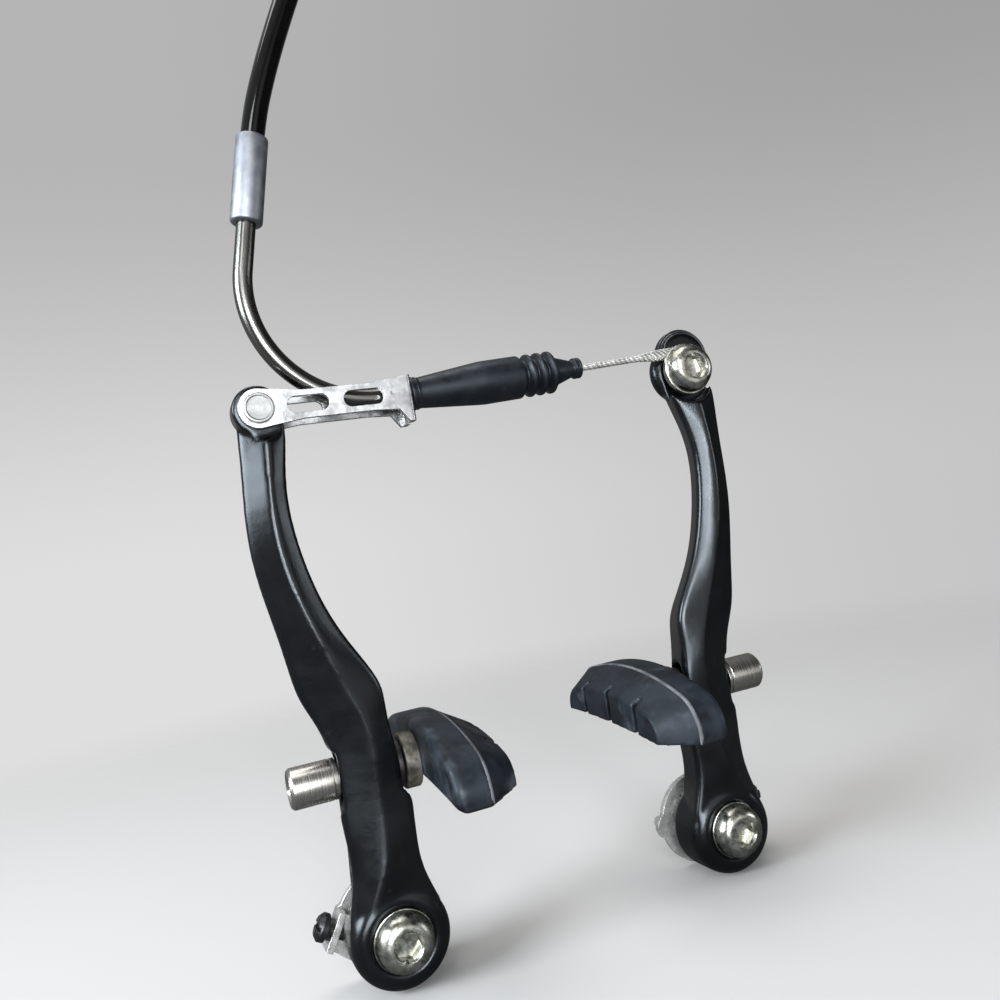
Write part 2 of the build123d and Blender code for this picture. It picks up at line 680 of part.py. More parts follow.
def noodle():
    """Bent steel tube from the nose to inside the ferrule."""
    nose_back = end_plate_x - sheet - nose_flange
    bend = noodle_line(noodle_run + ferrule_grip)
    straight = Line((nose_back, noodle_y, noodle_z), (bend_x, noodle_y, noodle_z))
    return tube_along(straight, noodle_radius, noodle_bore) + tube_along(bend, noodle_radius, noodle_bore)


def noodle_nose():
    """Turned tip: a flange behind the end plate, a neck through it and a taper inside the boot."""
    start = end_plate_x - sheet - nose_flange
    plate_end = end_plate_x - start
    tip = nose_tip_x - start
    profile = polygon((noodle_bore, 0), (nose_flange_radius, 0), (nose_flange_radius, nose_flange),
                      (nose_neck_radius, nose_flange), (nose_neck_radius, plate_end + sheet),
                      (nose_tip_radius, tip), (noodle_bore, tip))
    return stood(turned(profile), (start, noodle_y, noodle_z), (1, 0, 0), (0, 1, 0))


def ferrule_frame(shape):
    """A shape drawn along Z, stood at the ferrule's lower end along the noodle's upper run."""
    run = noodle_line(noodle_run)
    return stood(shape, run @ 1, run % 1, (0, 1, 0))


def noodle_ferrule():
    """Aluminium sleeve that takes the noodle from below and the housing from above."""
    seat = ferrule_length - housing_socket
    profile = polygon((ferrule_radius - ferrule_round, 0), (ferrule_radius, ferrule_round),
                      (ferrule_radius, ferrule_length - ferrule_round),
                      (ferrule_radius - ferrule_round, ferrule_length),
                      (housing_radius + seat_gap, ferrule_length), (housing_radius + seat_gap, seat),
                      (noodle_bore, seat), (noodle_bore, ferrule_grip),
                      (noodle_radius + seat_gap, ferrule_grip), (noodle_radius + seat_gap, 0))
    return ferrule_frame(turned(profile))


def inner_wire_in_noodle():
    """The wire inside the noodle's bend and the ferrule, up to the end of the housing."""
    return tube_along(noodle_line(noodle_run + ferrule_length - housing_socket), cable_radius)


def housing_points():
    run = noodle_line(noodle_run + ferrule_length - housing_socket + seat_gap)
    start = run @ 1
    return [(start.X + x, noodle_y, start.Z + z) for x, z in housing_route]


def housing_line():
    """Straight runs joined by arcs that are as large as their runs allow."""
    points = [Vector(*point) for point in housing_points()]
    runs = [after - before for before, after in zip(points, points[1:])]
    radii = []
    for before, after in zip(runs, runs[1:]):
        half = radians(before.get_angle(after)) / 2
        radii.append(0.45 * min(before.length, after.length) * cos(half) / sin(half))
    print("housing radii", [round(radius) for radius in radii])
    return FilletPolyline(*points, radius=radii)


def outer_housing():
    line = housing_line()
    housing = tube_along(line, housing_radius)
    print("housing length", round(line.length, 1), "volume ratio",
          round(housing.volume / (line.length * 3.14159 * housing_radius ** 2), 4))
    return housing


def housing_end_cap():
    """Closed end fitting over the far end of the housing."""
    line = housing_line()
    profile = polygon((0, 0), (housing_radius + seat_gap, 0), (housing_radius + seat_gap, -cap_socket),
                      (cap_radius, -cap_socket), (cap_radius, cap_length - cap_socket - ferrule_round),
                      (cap_radius - ferrule_round, cap_length - cap_socket), (0, cap_length - cap_socket))
    return stood(turned(profile), line @ 1, line % 1, (0, 1, 0))


def cable_at(x):
    """A point of the taut wire, which runs straight from the end plate to the anchor bolt."""
    share = (x - end_plate_x) / (anchor_x - end_plate_x)
    start = noodle_z - cable_drop
    return Vector(x, noodle_y, start + share * (cable_z - start))


def inner_wire():
    """Taut wire from inside the nose to under the anchor's washer."""
    return tube_along(Line(cable_at(wire_end_x), cable_at(anchor_x + cable_tail)), cable_radius)


def boot():
    """Bellows boot: a rim against the end plate, a swelling tube, folds, a cone and a bead on the wire."""
    fold_end = boot_tube_length + boot_folds * boot_fold_pitch
    tip = fold_end + boot_cone_length
    end = tip + boot_bead_length
    low = boot_radius - boot_fold_depth
    outer = [(boot_rim_radius, 0), (boot_rim_radius, boot_rim_length), (boot_neck_radius, boot_rim_length),
             (boot_radius, boot_swell_length), (boot_radius, boot_tube_length - boot_fold_pitch / 2)]
    for fold in range(boot_folds):
        start = boot_tube_length + fold * boot_fold_pitch
        crest = start + boot_fold_pitch / 2
        outer += [(low, start), (boot_radius, crest - boot_fold_crest / 2 * boot_fold_pitch),
                  (boot_radius, crest + boot_fold_crest / 2 * boot_fold_pitch)]
    outer += [(low, fold_end), (boot_tip_radius - boot_wall / 2, tip), (boot_tip_radius, tip),
              (boot_tip_radius, end)]
    bore = cable_radius + boot_wire_gap
    inner = [(bore, end), (bore, tip), (low - boot_wall, fold_end), (low - boot_wall, boot_tube_length),
             (boot_radius - boot_wall, boot_tube_length - boot_fold_pitch),
             (boot_radius - boot_wall, boot_swell_length), (boot_neck_radius - boot_wall, 0)]
    start = Vector(end_plate_x + small_gap, noodle_y, noodle_z)
    return stood(turned(polygon(*outer, *inner)), start, cable_at(anchor_x) - start, (0, 1, 0))


os.makedirs("parts", exist_ok=True)
PER_SIDE = {
    "pivot_bolt": pivot_bolt(), "pivot_sleeve": pivot_sleeve(), "spring_plate": spring_plate(),
    "tension_screw": tension_screw(), "return_spring": return_spring(), "pad": pad(), "pad_stud": pad_stud(),
    "pad_nut": pad_nut(), "nut_washer": nut_washer(), "pad_dome_washer": inner_dome_washer(),
    "pad_cup_washer": inner_cup_washer(),
}
PIECES = {"left_arm": link_arm(), "right_arm": anchor_arm()}
for name, piece in PER_SIDE.items():
    PIECES["right_" + name] = piece
    PIECES["left_" + name] = other_side(piece)
for build in (link, link_rivet, noodle, noodle_nose, noodle_ferrule, inner_wire_in_noodle, outer_housing,
              housing_end_cap, boot, inner_wire, anchor_bolt, anchor_washer):
    PIECES[build.__name__] = build()
for name, piece in PIECES.items():
    export_step(piece, f"parts/{name}.step")
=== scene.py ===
import logging
import math
from dataclasses import dataclass
from enum import Enum
from typing import Sequence

import bmesh
import bpy
import numpy as np
from mathutils import Euler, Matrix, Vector


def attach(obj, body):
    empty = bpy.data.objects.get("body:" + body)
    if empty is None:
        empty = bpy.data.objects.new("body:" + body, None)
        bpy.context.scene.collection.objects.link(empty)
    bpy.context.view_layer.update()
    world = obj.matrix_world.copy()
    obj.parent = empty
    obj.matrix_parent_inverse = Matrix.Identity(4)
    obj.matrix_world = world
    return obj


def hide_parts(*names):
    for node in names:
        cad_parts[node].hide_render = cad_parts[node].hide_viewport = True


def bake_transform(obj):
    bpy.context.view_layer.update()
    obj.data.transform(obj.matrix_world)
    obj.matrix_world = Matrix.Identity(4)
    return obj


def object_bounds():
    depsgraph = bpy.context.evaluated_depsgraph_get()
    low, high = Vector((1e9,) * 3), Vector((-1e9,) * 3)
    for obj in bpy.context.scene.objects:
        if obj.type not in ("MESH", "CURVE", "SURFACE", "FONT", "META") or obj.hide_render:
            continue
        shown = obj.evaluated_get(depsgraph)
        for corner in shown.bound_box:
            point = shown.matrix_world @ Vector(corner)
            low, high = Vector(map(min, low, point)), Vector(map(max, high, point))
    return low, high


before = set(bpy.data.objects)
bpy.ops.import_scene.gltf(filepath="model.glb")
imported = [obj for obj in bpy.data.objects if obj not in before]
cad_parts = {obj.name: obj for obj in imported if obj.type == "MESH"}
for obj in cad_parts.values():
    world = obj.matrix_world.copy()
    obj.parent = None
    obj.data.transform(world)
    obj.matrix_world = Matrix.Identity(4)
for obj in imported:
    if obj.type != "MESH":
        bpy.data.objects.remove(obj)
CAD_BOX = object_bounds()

# Visual model of a linear-pull brake on its CAD frame. X runs from arm to arm, Y along the two pivots
# and Z up. The classes hold their sizes in millimetres and build in metres.

LOG = logging.getLogger("brake")
MM = 0.001
TURN = 2 * math.pi
MERGED_WITHIN = 1e-7
FLAT_DEGREES = 0.6
SHARP_DEGREES = 35.0
BEVEL_DEGREES = 40.0
Array = np.ndarray
Object = bpy.types.Object
Socket = bpy.types.NodeSocket
Pair = tuple[float, float]
Triple = tuple[float, float, float]
Outline = tuple[tuple[float, ...], ...]


def metres(x: float, y: float, z: float) -> Triple:
    """A place in millimetres, in metres."""
    return (x * MM, y * MM, z * MM)


class Body(str, Enum):
    """CAD bodies that pieces ride on."""
    ROOT = "root"
    LEFT = "left_arm"
    RIGHT = "right_arm"
    LINK = "link"
    WIRE = "inner_wire"


class Side(Enum):
    """The two halves of the brake: the link side at -X and the anchor side at +X."""
    LEFT = -1
    RIGHT = 1

    @property
    def body(self) -> Body:
        """The body of this side's arm."""
        return Body.LEFT if self is Side.LEFT else Body.RIGHT

    def node(self, name: str) -> str:
        """A node name with this side's prefix."""
        return f"{self.name.lower()}_{name}"

    def point(self, x: float, y: float, z: float) -> Triple:
        """A place drawn for the anchor side in millimetres, on this side, in metres."""
        return metres(self.value * x, y, z)


class Pattern(Enum):
    """What the patches of a finish follow: the object's own space, or its UV map drawn out by a scale."""
    CLOUDS = None
    ROUND = (0.002, 8.0, 1.0)
    ALONG = (0.06, 0.15, 1.0)


class Graph:
    """The node tree of a material or a world, and the few nodes that they are put together from."""

    def __init__(self, owner: bpy.types.Material | bpy.types.World, shader: str = "Principled BSDF") -> None:
        """Starts the tree of an owner, with its shader and its texture coordinates.

        Args:
            owner: the material or world.
            shader: name of the shader that it starts with.
        """
        owner.use_nodes = True
        self.nodes, self.links = owner.node_tree.nodes, owner.node_tree.links
        self.shader = self.nodes[shader]
        self.coords = self.nodes.new("ShaderNodeTexCoord").outputs

    def feed(self, node: bpy.types.Node, values: dict[str | int, object]) -> bpy.types.Node:
        """Sets constants on a node's inputs, and joins sockets to them.

        Args:
            node: the node.
            values: for each input's name or number, a constant or another node's socket.

        Returns:
            The same node.
        """
        for key, value in values.items():
            socket = node.inputs[key]
            if isinstance(value, Socket):
                self.links.new(value, socket)
            else:
                socket.default_value = (*value, 1.0) if socket.type == "RGBA" else value
        return node

    def place(self, pattern: Pattern) -> Socket:
        """Texture coordinates that a pattern follows.

        Args:
            pattern: the pattern.

        Returns:
            A vector socket.
        """
        if pattern is Pattern.CLOUDS:
            return self.coords["Object"]
        stretch = self.nodes.new("ShaderNodeMapping")
        return self.feed(stretch, {"Scale": pattern.value, "Vector": self.coords["UV"]}).outputs["Vector"]

    def noise(self, place: Socket, scale: float, detail: float) -> Socket:
        """Noise of a scale per metre at a place, from 0 to 1."""
        node = self.nodes.new("ShaderNodeTexNoise")
        return self.feed(node, {"Scale": scale, "Detail": detail, "Vector": place}).outputs["Fac"]

    def stretched(self, value: Socket, span: Pair, ends: Pair = (0.0, 1.0)) -> Socket:
        """A value brought from one range to another with soft ends.

        Args:
            value: the socket to read.
            span: the part of its range that is used.
            ends: what the two ends of that part become.

        Returns:
            The new value's socket.
        """
        node = self.nodes.new("ShaderNodeMapRange")
        node.interpolation_type = "SMOOTHSTEP"
        ranges = dict(zip(("From Min", "From Max", "To Min", "To Max"), span + ends))
        return self.feed(node, {"Value": value, **ranges}).outputs["Result"]

    def mixed(self, share: Socket, low: Socket | Triple, high: Socket | Triple) -> Socket:
        """Two colours mixed.

        Args:
            share: the share of the second one.
            low, high: the two, each a socket or a colour.

        Returns:
            The mixed colour's socket.
        """
        node = self.nodes.new("ShaderNodeMix")
        node.data_type = "RGBA"
        return self.feed(node, {"Factor": share, 6: low, 7: high}).outputs[2]

    def worked_out(self, kind: str, operation: str, *values: Socket | Vector) -> Socket:
        """A value worked out from others.

        Args:
            kind: Math for numbers or VectorMath for vectors.
            operation: what is done.
            values: the sockets or constants that it is done to.

        Returns:
            The value's socket.
        """
        node = self.nodes.new("ShaderNode" + kind)
        node.operation = operation
        return self.feed(node, dict(enumerate(values))).outputs["Value"]

    def bump(self, height: Socket, relief: float) -> Socket:
        """The normal of a relief of a height in metres."""
        node = self.nodes.new("ShaderNodeBump")
        return self.feed(node, {"Strength": 1.0, "Distance": relief, "Height": height}).outputs["Normal"]


@dataclass(frozen=True)
class Finish:
    """A procedural surface: two colours in patches, specks over them, and a fine relief.

    Scales are per metre and the relief is in metres. A span is the part of a noise that shows.
    """
    slot: str
    light: Triple
    dark: Triple
    metallic: float = 0.0
    roughness: Pair = (0.3, 0.5)
    patch: float = 160.0
    pattern: Pattern = Pattern.CLOUDS
    speck: Triple = (0.2, 0.2, 0.2)
    speck_scale: float = 700.0
    speck_span: Pair = (0.66, 0.8)
    grain: float = 2500.0
    relief: float = 0.00001
    coat: float = 0.0
    coat_roughness: float = 0.08
    ior: float = 1.5
    tint: Triple = (1.0, 1.0, 1.0)
    variant: str = "finish"
    patch_span: Pair = (0.38, 0.62)
    rough_span: Pair = (0.35, 0.65)
    rough_share: float = 2.3

    def material(self) -> bpy.types.Material:
        """The finish as a node material: patches to colour, noise to roughness and grain to bump.

        Returns:
            The material, made once and shared by the pieces of this finish.
        """
        name = f"{self.slot}_{self.variant}"
        if name in bpy.data.materials:
            return bpy.data.materials[name]
        made = bpy.data.materials.new(name)
        graph = Graph(made)
        place, clouds = graph.place(self.pattern), graph.place(Pattern.CLOUDS)
        patches = graph.stretched(graph.noise(place, self.patch, 4.0), self.patch_span)
        specks = graph.stretched(graph.noise(clouds, self.speck_scale, 3.0), self.speck_span)
        rough = graph.noise(place, self.rough_share * self.patch, 3.0)
        graph.feed(graph.shader, {
            "Base Color": graph.mixed(specks, graph.mixed(patches, self.dark, self.light), self.speck),
            "Roughness": graph.stretched(rough, self.rough_span, self.roughness),
            "Normal": graph.bump(graph.noise(clouds, self.grain, 2.0), self.relief),
            "Metallic": self.metallic, "IOR": self.ior, "Specular Tint": self.tint,
            "Coat Weight": self.coat, "Coat Roughness": self.coat_roughness})
        return made


class Finishes:
    """The finishes of the brake, by the record's slots."""
    ARM = Finish("arm_black", (0.0030, 0.0032, 0.0036), (0.0018, 0.0018, 0.0021), 0.0, (0.18, 0.26), 90,
                 speck=(0.014, 0.014, 0.015), speck_scale=520, speck_span=(0.66, 0.86), grain=4200,
                 relief=0.000028, coat=0.15, coat_roughness=0.12, ior=1.45, tint=(0.84, 0.92, 1.0))
    # Anchor-head ridge beads: a base far lighter than the arm's black paint, a painted highlight along the
    # ridges.
    EDGE_HIGHLIGHT = Finish("arm_black", (0.040, 0.042, 0.046), (0.020, 0.021, 0.023), 0.0, (0.10, 0.18), 300,
                  coat=1.0, variant="edge")
    BOLT = Finish("plated_bolt", (0.66, 0.655, 0.60), (0.36, 0.355, 0.305), 1.0, (0.20, 0.34), 330,
                  speck=(0.16, 0.155, 0.13), speck_scale=620, speck_span=(0.58, 0.76), grain=480,
                  relief=0.00005)
    NUT = Finish("plated_nut", (0.66, 0.635, 0.59), (0.58, 0.555, 0.51), 1.0, (0.22, 0.32), 260,
                 Pattern.ROUND, speck=(0.26, 0.23, 0.19), speck_span=(0.64, 0.80), grain=1500)
    PLAIN = Finish("plain_steel", (0.48, 0.47, 0.45), (0.30, 0.29, 0.27), 1.0, (0.28, 0.45), 300)
    ZINC = Finish("zinc_plate", (0.86, 0.86, 0.84), (0.68, 0.67, 0.64), 0.75, (0.20, 0.34), 220,
                  speck=(0.36, 0.35, 0.32), speck_scale=600, speck_span=(0.68, 0.84))
    SCREW = Finish("black_screw", (0.022, 0.022, 0.023), (0.008, 0.008, 0.008), 0.2, (0.26, 0.46), 300,
                   speck=(0.07, 0.066, 0.06))
    SPRING = Finish("spring_wire", (0.36, 0.35, 0.34), (0.22, 0.21, 0.20), 1.0, (0.22, 0.4), 300)
    PAD = Finish("pad_rubber", (0.009, 0.0118, 0.017), (0.002, 0.0028, 0.005), 0.0, (0.40, 0.62), 120,
                 speck=(0.040, 0.047, 0.057), speck_scale=150, speck_span=(0.52, 0.74), grain=1500,
                 relief=0.000014, tint=(0.80, 0.91, 1.0))
    # Seam bead: much lighter than the pad's rubber, a painted highlight along the moulding seam.
    SEAM = Finish("pad_rubber", (0.15, 0.155, 0.165), (0.07, 0.073, 0.08), 0.0, (0.5, 0.7), 200,
                  variant="seam_highlight")
    BLACK_WASHER = Finish("black_washer", (0.026, 0.019, 0.021), (0.010, 0.008, 0.009), 0.3, (0.32, 0.5),
                          260, speck=(0.07, 0.05, 0.05))
    BEIGE = Finish("beige_washer", (0.16, 0.148, 0.124), (0.05, 0.045, 0.037), 0.6, (0.40, 0.60), 300,
                   speck=(0.09, 0.075, 0.055), speck_scale=620, speck_span=(0.56, 0.74), relief=0.00002)
    LINK = Finish("link_plate", (0.66, 0.665, 0.675), (0.40, 0.40, 0.405), 1.0, (0.24, 0.40), 190,
                  speck=(0.26, 0.255, 0.24), speck_scale=520, speck_span=(0.60, 0.78), grain=900,
                  relief=0.00003)
    RIVET = Finish("rivet_steel", (0.44, 0.44, 0.44), (0.29, 0.288, 0.28), 0.9, (0.30, 0.46), 320,
                   speck=(0.34, 0.32, 0.28), speck_scale=800)
    NOODLE = Finish("noodle_steel", (0.22, 0.215, 0.205), (0.14, 0.135, 0.128), 1.0, (0.18, 0.28), 300,
                    Pattern.ALONG, speck=(0.10, 0.09, 0.08), speck_scale=500, grain=1200, relief=0.000004)
    FERRULE = Finish("ferrule_satin", (0.35, 0.365, 0.40), (0.28, 0.29, 0.32), 1.0, (0.44, 0.54), 260,
                     speck=(0.40, 0.41, 0.44), grain=2600, relief=0.000006)
    HOUSING = Finish("housing_black", (0.0018, 0.0018, 0.0021), (0.0010, 0.0010, 0.0012), 0.0, (0.10, 0.15),
                     130, speck=(0.003, 0.003, 0.003), relief=0.000001, coat=1.0, coat_roughness=0.02,
                     ior=1.3)
    BOOT = Finish("boot_rubber", (0.0060, 0.0072, 0.0100), (0.0032, 0.0040, 0.0058), 0.0, (0.36, 0.52), 130,
                  speck=(0.020, 0.023, 0.030), speck_scale=260, speck_span=(0.6, 0.85), grain=1800,
                  relief=0.000008, tint=(0.80, 0.91, 1.0))
    CABLE = Finish("cable_steel", (0.82, 0.81, 0.79), (0.60, 0.59, 0.56), 0.85, (0.30, 0.46), 320,
                   speck=(0.34, 0.32, 0.30), speck_span=(0.66, 0.82))


def rounded(corners: Sequence[tuple[float, ...]], closed: bool = False, steps: int = 6) -> Array:
    """A profile through corners, with arcs in the place of sharp ones.

    A corner of round r becomes the circle of radius r that touches both its sides: its points are
    the centre plus r times a direction that turns from one touching point to the other.

    Args:
        corners: (radius, along) or (radius, along, round, hexagon) of each corner, in millimetres.
        closed: whether the last corner joins the first.
        steps: points along one arc.

    Returns:
        Rows of (radius, along, hexagon), in millimetres.
    """
    full = [tuple(c) + (0.0,) * (4 - len(c)) for c in corners]
    rows = []
    for index, (radius, along, bend, hexagon) in enumerate(full):
        here = np.array((radius, along))
        inside = closed or 0 < index < len(full) - 1
        if not bend or not inside:
            rows.append(np.array([[radius, along, hexagon]]))
            continue
        before = np.array(full[index - 1][:2]) - here
        after = np.array(full[(index + 1) % len(full)][:2]) - here
        before, after = before / np.linalg.norm(before), after / np.linalg.norm(after)
        half = math.acos(float(np.clip(before @ after, -1, 1))) / 2
        middle = (before + after) / np.linalg.norm(before + after)
        centre = here + middle * bend / math.sin(half)
        first = here + before * bend / math.tan(half) - centre
        last = here + after * bend / math.tan(half) - centre
        share, sweep = np.linspace(0, 1, steps)[:, None], math.pi - 2 * half
        arc = (np.sin((1 - share) * sweep) * first + np.sin(share * sweep) * last) / math.sin(sweep)
        rows.append(np.hstack([centre + arc, np.full((steps, 1), hexagon)]))
    return np.vstack(rows)


def tilted(line: Array, degrees: float) -> Array:
    """A line's first two columns a and b turned by an angle t: (a cos t - b sin t, a sin t + b cos t)."""
    cos, sin = math.cos(math.radians(degrees)), math.sin(math.radians(degrees))
    return line[:, :2] @ np.array(((cos, sin), (-sin, cos)))


def circle(radius: float, around: int) -> Array:
    """Offsets of a round section of a radius in millimetres: radius times (cos, sin) of the angle."""
    angle = np.linspace(0, TURN, around, endpoint=False)
    return radius * MM * np.stack([np.cos(angle), np.sin(angle)], -1)


def swept(path: Array, section: Array, reference: Triple = (0, 1, 0)) -> Array:
    """A section carried along a path.

    A point is the path's point plus the section's two offsets along the normal, which is the
    reference direction made square to the path, and along the binormal, which is square to both.

    Args:
        path: points in metres, none with a direction along the reference.
        section: offsets in metres as (around, 2), or (path, around, 2) where the section changes.
        reference: direction that the normal is made from.

    Returns:
        Points as (path, around, 3), in metres.
    """
    tangent = np.gradient(path, axis=0)
    tangent /= np.linalg.norm(tangent, axis=1, keepdims=True)
    normal = np.array(reference) - (tangent @ np.array(reference))[:, None] * tangent
    normal /= np.linalg.norm(normal, axis=1, keepdims=True)
    binormal = np.cross(tangent, normal)
    section = np.broadcast_to(section, (len(path),) + section.shape[-2:])
    return path[:, None] + section[..., :1] * normal[:, None] + section[..., 1:] * binormal[:, None]


def linked(name: str, data: bpy.types.ID | None) -> Object:
    """Puts some data into the scene.

    Args:
        name: name of the object.
        data: its mesh, curve, lamp or camera.

    Returns:
        The new object.
    """
    made = bpy.data.objects.new(name, data)
    bpy.context.scene.collection.objects.link(made)
    return made


def mesh_object(name: str, mesh: bpy.types.Mesh, sharp: float, flat: bool = False) -> Object:
    """An object of a mesh whose doubles are merged and whose faces all point outwards.

    Args:
        name: name of the object.
        mesh: the mesh to clean.
        sharp: edges over this angle in degrees stay sharp.
        flat: whether the triangles of one plane are joined into one face.

    Returns:
        The object, in the scene.
    """
    work = bmesh.new()
    work.from_mesh(mesh)
    bmesh.ops.remove_doubles(work, verts=work.verts, dist=MERGED_WITHIN)
    if flat:
        bmesh.ops.dissolve_limit(work, angle_limit=math.radians(FLAT_DEGREES), verts=work.verts,
                                 edges=work.edges)
    bmesh.ops.recalc_face_normals(work, faces=work.faces)
    work.to_mesh(mesh)
    work.free()
    mesh.shade_smooth()
    mesh.set_sharp_from_angle(angle=math.radians(sharp))
    return linked(name, mesh)


def grid_object(name: str, points: Array, closed: bool = False, caps: bool = False,
                sharp: float = SHARP_DEGREES) -> Object:
    """A mesh from a grid of points that wraps round in its second direction.

    Args:
        name: name of the object.
        points: (rows, around, 3) in metres.
        closed: whether the last row joins the first.
        caps: whether flat faces close the first and last row.
        sharp: edges over this angle in degrees stay sharp.

    Returns:
        The object, at the origin, with UV (turn, length in metres).
    """
    rows, around = points.shape[:2]
    row, column = np.meshgrid(np.arange(rows if closed else rows - 1), np.arange(around), indexing="ij")
    step = np.array([[0, 0], [0, 1], [1, 1], [1, 0]])
    at_row, at_column = row[..., None] + step[:, 0], column[..., None] + step[:, 1]
    faces = ((at_row % rows) * around + at_column % around).reshape(-1, 4)
    gaps = np.linalg.norm(np.diff(points, axis=0, append=points[:1]), axis=2).mean(1)
    run = np.concatenate([[0.0], np.cumsum(gaps)])
    uv = np.stack([at_column / around, run[at_row]], -1).reshape(-1, 2)
    ends = [list(range(around)), list(range((rows - 1) * around, rows * around))] if caps else []
    uv = np.vstack([uv, np.zeros((len(ends) * around, 2))])
    mesh = bpy.data.meshes.new(name)
    mesh.from_pydata(points.reshape(-1, 3).tolist(), [], faces.tolist() + ends)
    mesh.uv_layers.new(name="UVMap").data.foreach_set("uv", uv.astype(np.float32).ravel())
    return mesh_object(name, mesh, sharp)


def lathed(node: str, profile: Array, origin: Sequence[float], axis: Sequence[float], closed: bool = False,
           segments: int = 72, sharp: float = SHARP_DEGREES) -> Object:
    """The looks of a turned node: a profile carried round an axis.

    A point is the origin plus along times the axis plus radius(angle) times a direction that turns
    round the axis. A hexagon share of 1 makes the radius that of a hexagon with this inner radius.

    Args:
        node: the CAD node.
        profile: rows of (radius, along, hexagon) in millimetres.
        origin: where along is zero, in metres.
        axis: direction of along.
        closed: whether the last row joins the first.
        segments: points round the axis.
        sharp: edges over this angle in degrees stay sharp.

    Returns:
        The object, named after the node.
    """
    axis_v = Vector(axis).normalized()
    first = axis_v.orthogonal().normalized()
    second = axis_v.cross(first)
    angle = np.linspace(0, TURN, segments, endpoint=False)
    corner = 1 / np.cos(np.mod(angle, TURN / 6) - TURN / 12)
    radius = profile[:, :1] * (1 + profile[:, 2:3] * (corner - 1)) * MM
    outward = np.cos(angle)[:, None] * np.array(first) + np.sin(angle)[:, None] * np.array(second)
    lengthwise = profile[:, 1, None, None] * MM * np.array(axis_v)
    points = np.array(origin) + lengthwise + radius[..., None] * outward
    return grid_object(node + "_looks", points, closed, sharp=sharp)


def node_copy(name: str, node: str, flat: bool = False) -> Object:
    """A merged copy of a CAD node's mesh as an object of its own."""
    return mesh_object(name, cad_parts[node].data.copy(), 30.0, flat)


def bevelled(node: str, width: float) -> Object:
    """A copy of a CAD node with rounded edges.

    Args:
        node: the CAD node.
        width: width of the rounded edges in millimetres.

    Returns:
        The object, named after the node.
    """
    made = node_copy(node + "_looks", node, True)
    bevel = made.modifiers.new("edges", "BEVEL")
    bevel.width = width * MM
    bevel.segments = 2
    bevel.limit_method = "ANGLE"
    bevel.angle_limit = math.radians(BEVEL_DEGREES)
    bevel.harden_normals = True
    return made


def softened(node: str, voxel: float, rounds: int, back: float) -> Object:
    """A copy of a CAD node with the soft edges of a cast or moulded piece.

    The copy is remeshed evenly. Then each vertex moves half the way to the mean of its neighbours
    and back by another share, which rounds its edges; the more it goes back, the less they give.

    Args:
        node: the CAD node.
        voxel: size of the mesh's faces in millimetres.
        rounds: how often the vertices move.
        back: the share that they go back by.

    Returns:
        The object, named after the node.
    """
    rough = node_copy(node + "_rough", node)
    remesh = rough.modifiers.new("even", "REMESH")
    remesh.mode = "VOXEL"
    remesh.voxel_size = voxel * MM
    mesh = bpy.data.meshes.new_from_object(rough.evaluated_get(bpy.context.evaluated_depsgraph_get()))
    bpy.data.objects.remove(rough)
    count = len(mesh.vertices)
    places = np.empty(count * 3, np.float32)
    mesh.vertices.foreach_get("co", places)
    places = places.reshape(-1, 3).astype(float)
    edges = np.empty(len(mesh.edges) * 2, np.int32)
    mesh.edges.foreach_get("vertices", edges)
    one, other = edges.reshape(-1, 2).T
    ends, starts = np.concatenate([one, other]), np.concatenate([other, one])
    degree = np.bincount(ends, minlength=count)[:, None]
    for share in (0.5, -back) * rounds:
        sums = np.stack([np.bincount(ends, places[starts, k], count) for k in range(3)], -1)
        places += share * (sums / degree - places)
    mesh.vertices.foreach_set("co", places.astype(np.float32).ravel())
    mesh.name = node + "_looks"
    return mesh_object(mesh.name, mesh, 80.0)


def dressed(made: Object, finish: Finish, body: Body | None = None, *nodes: str) -> Object:
    """Gives a piece its finish, its body and the CAD nodes that it stands for, and reports it.

    Args:
        made: the piece.
        finish: its finish.
        body: the body that it rides on; None for a CAD node and for the return spring, which are left where
            they are.
        nodes: the CAD nodes that it replaces.

    Returns:
        The piece.
    """
    made.data.materials.clear()
    made.data.materials.append(finish.material())
    LOG.info("%s: %s", made.name, finish.slot)
    if body:
        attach(made, body.value)
    if nodes:
        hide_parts(*nodes)
    return made


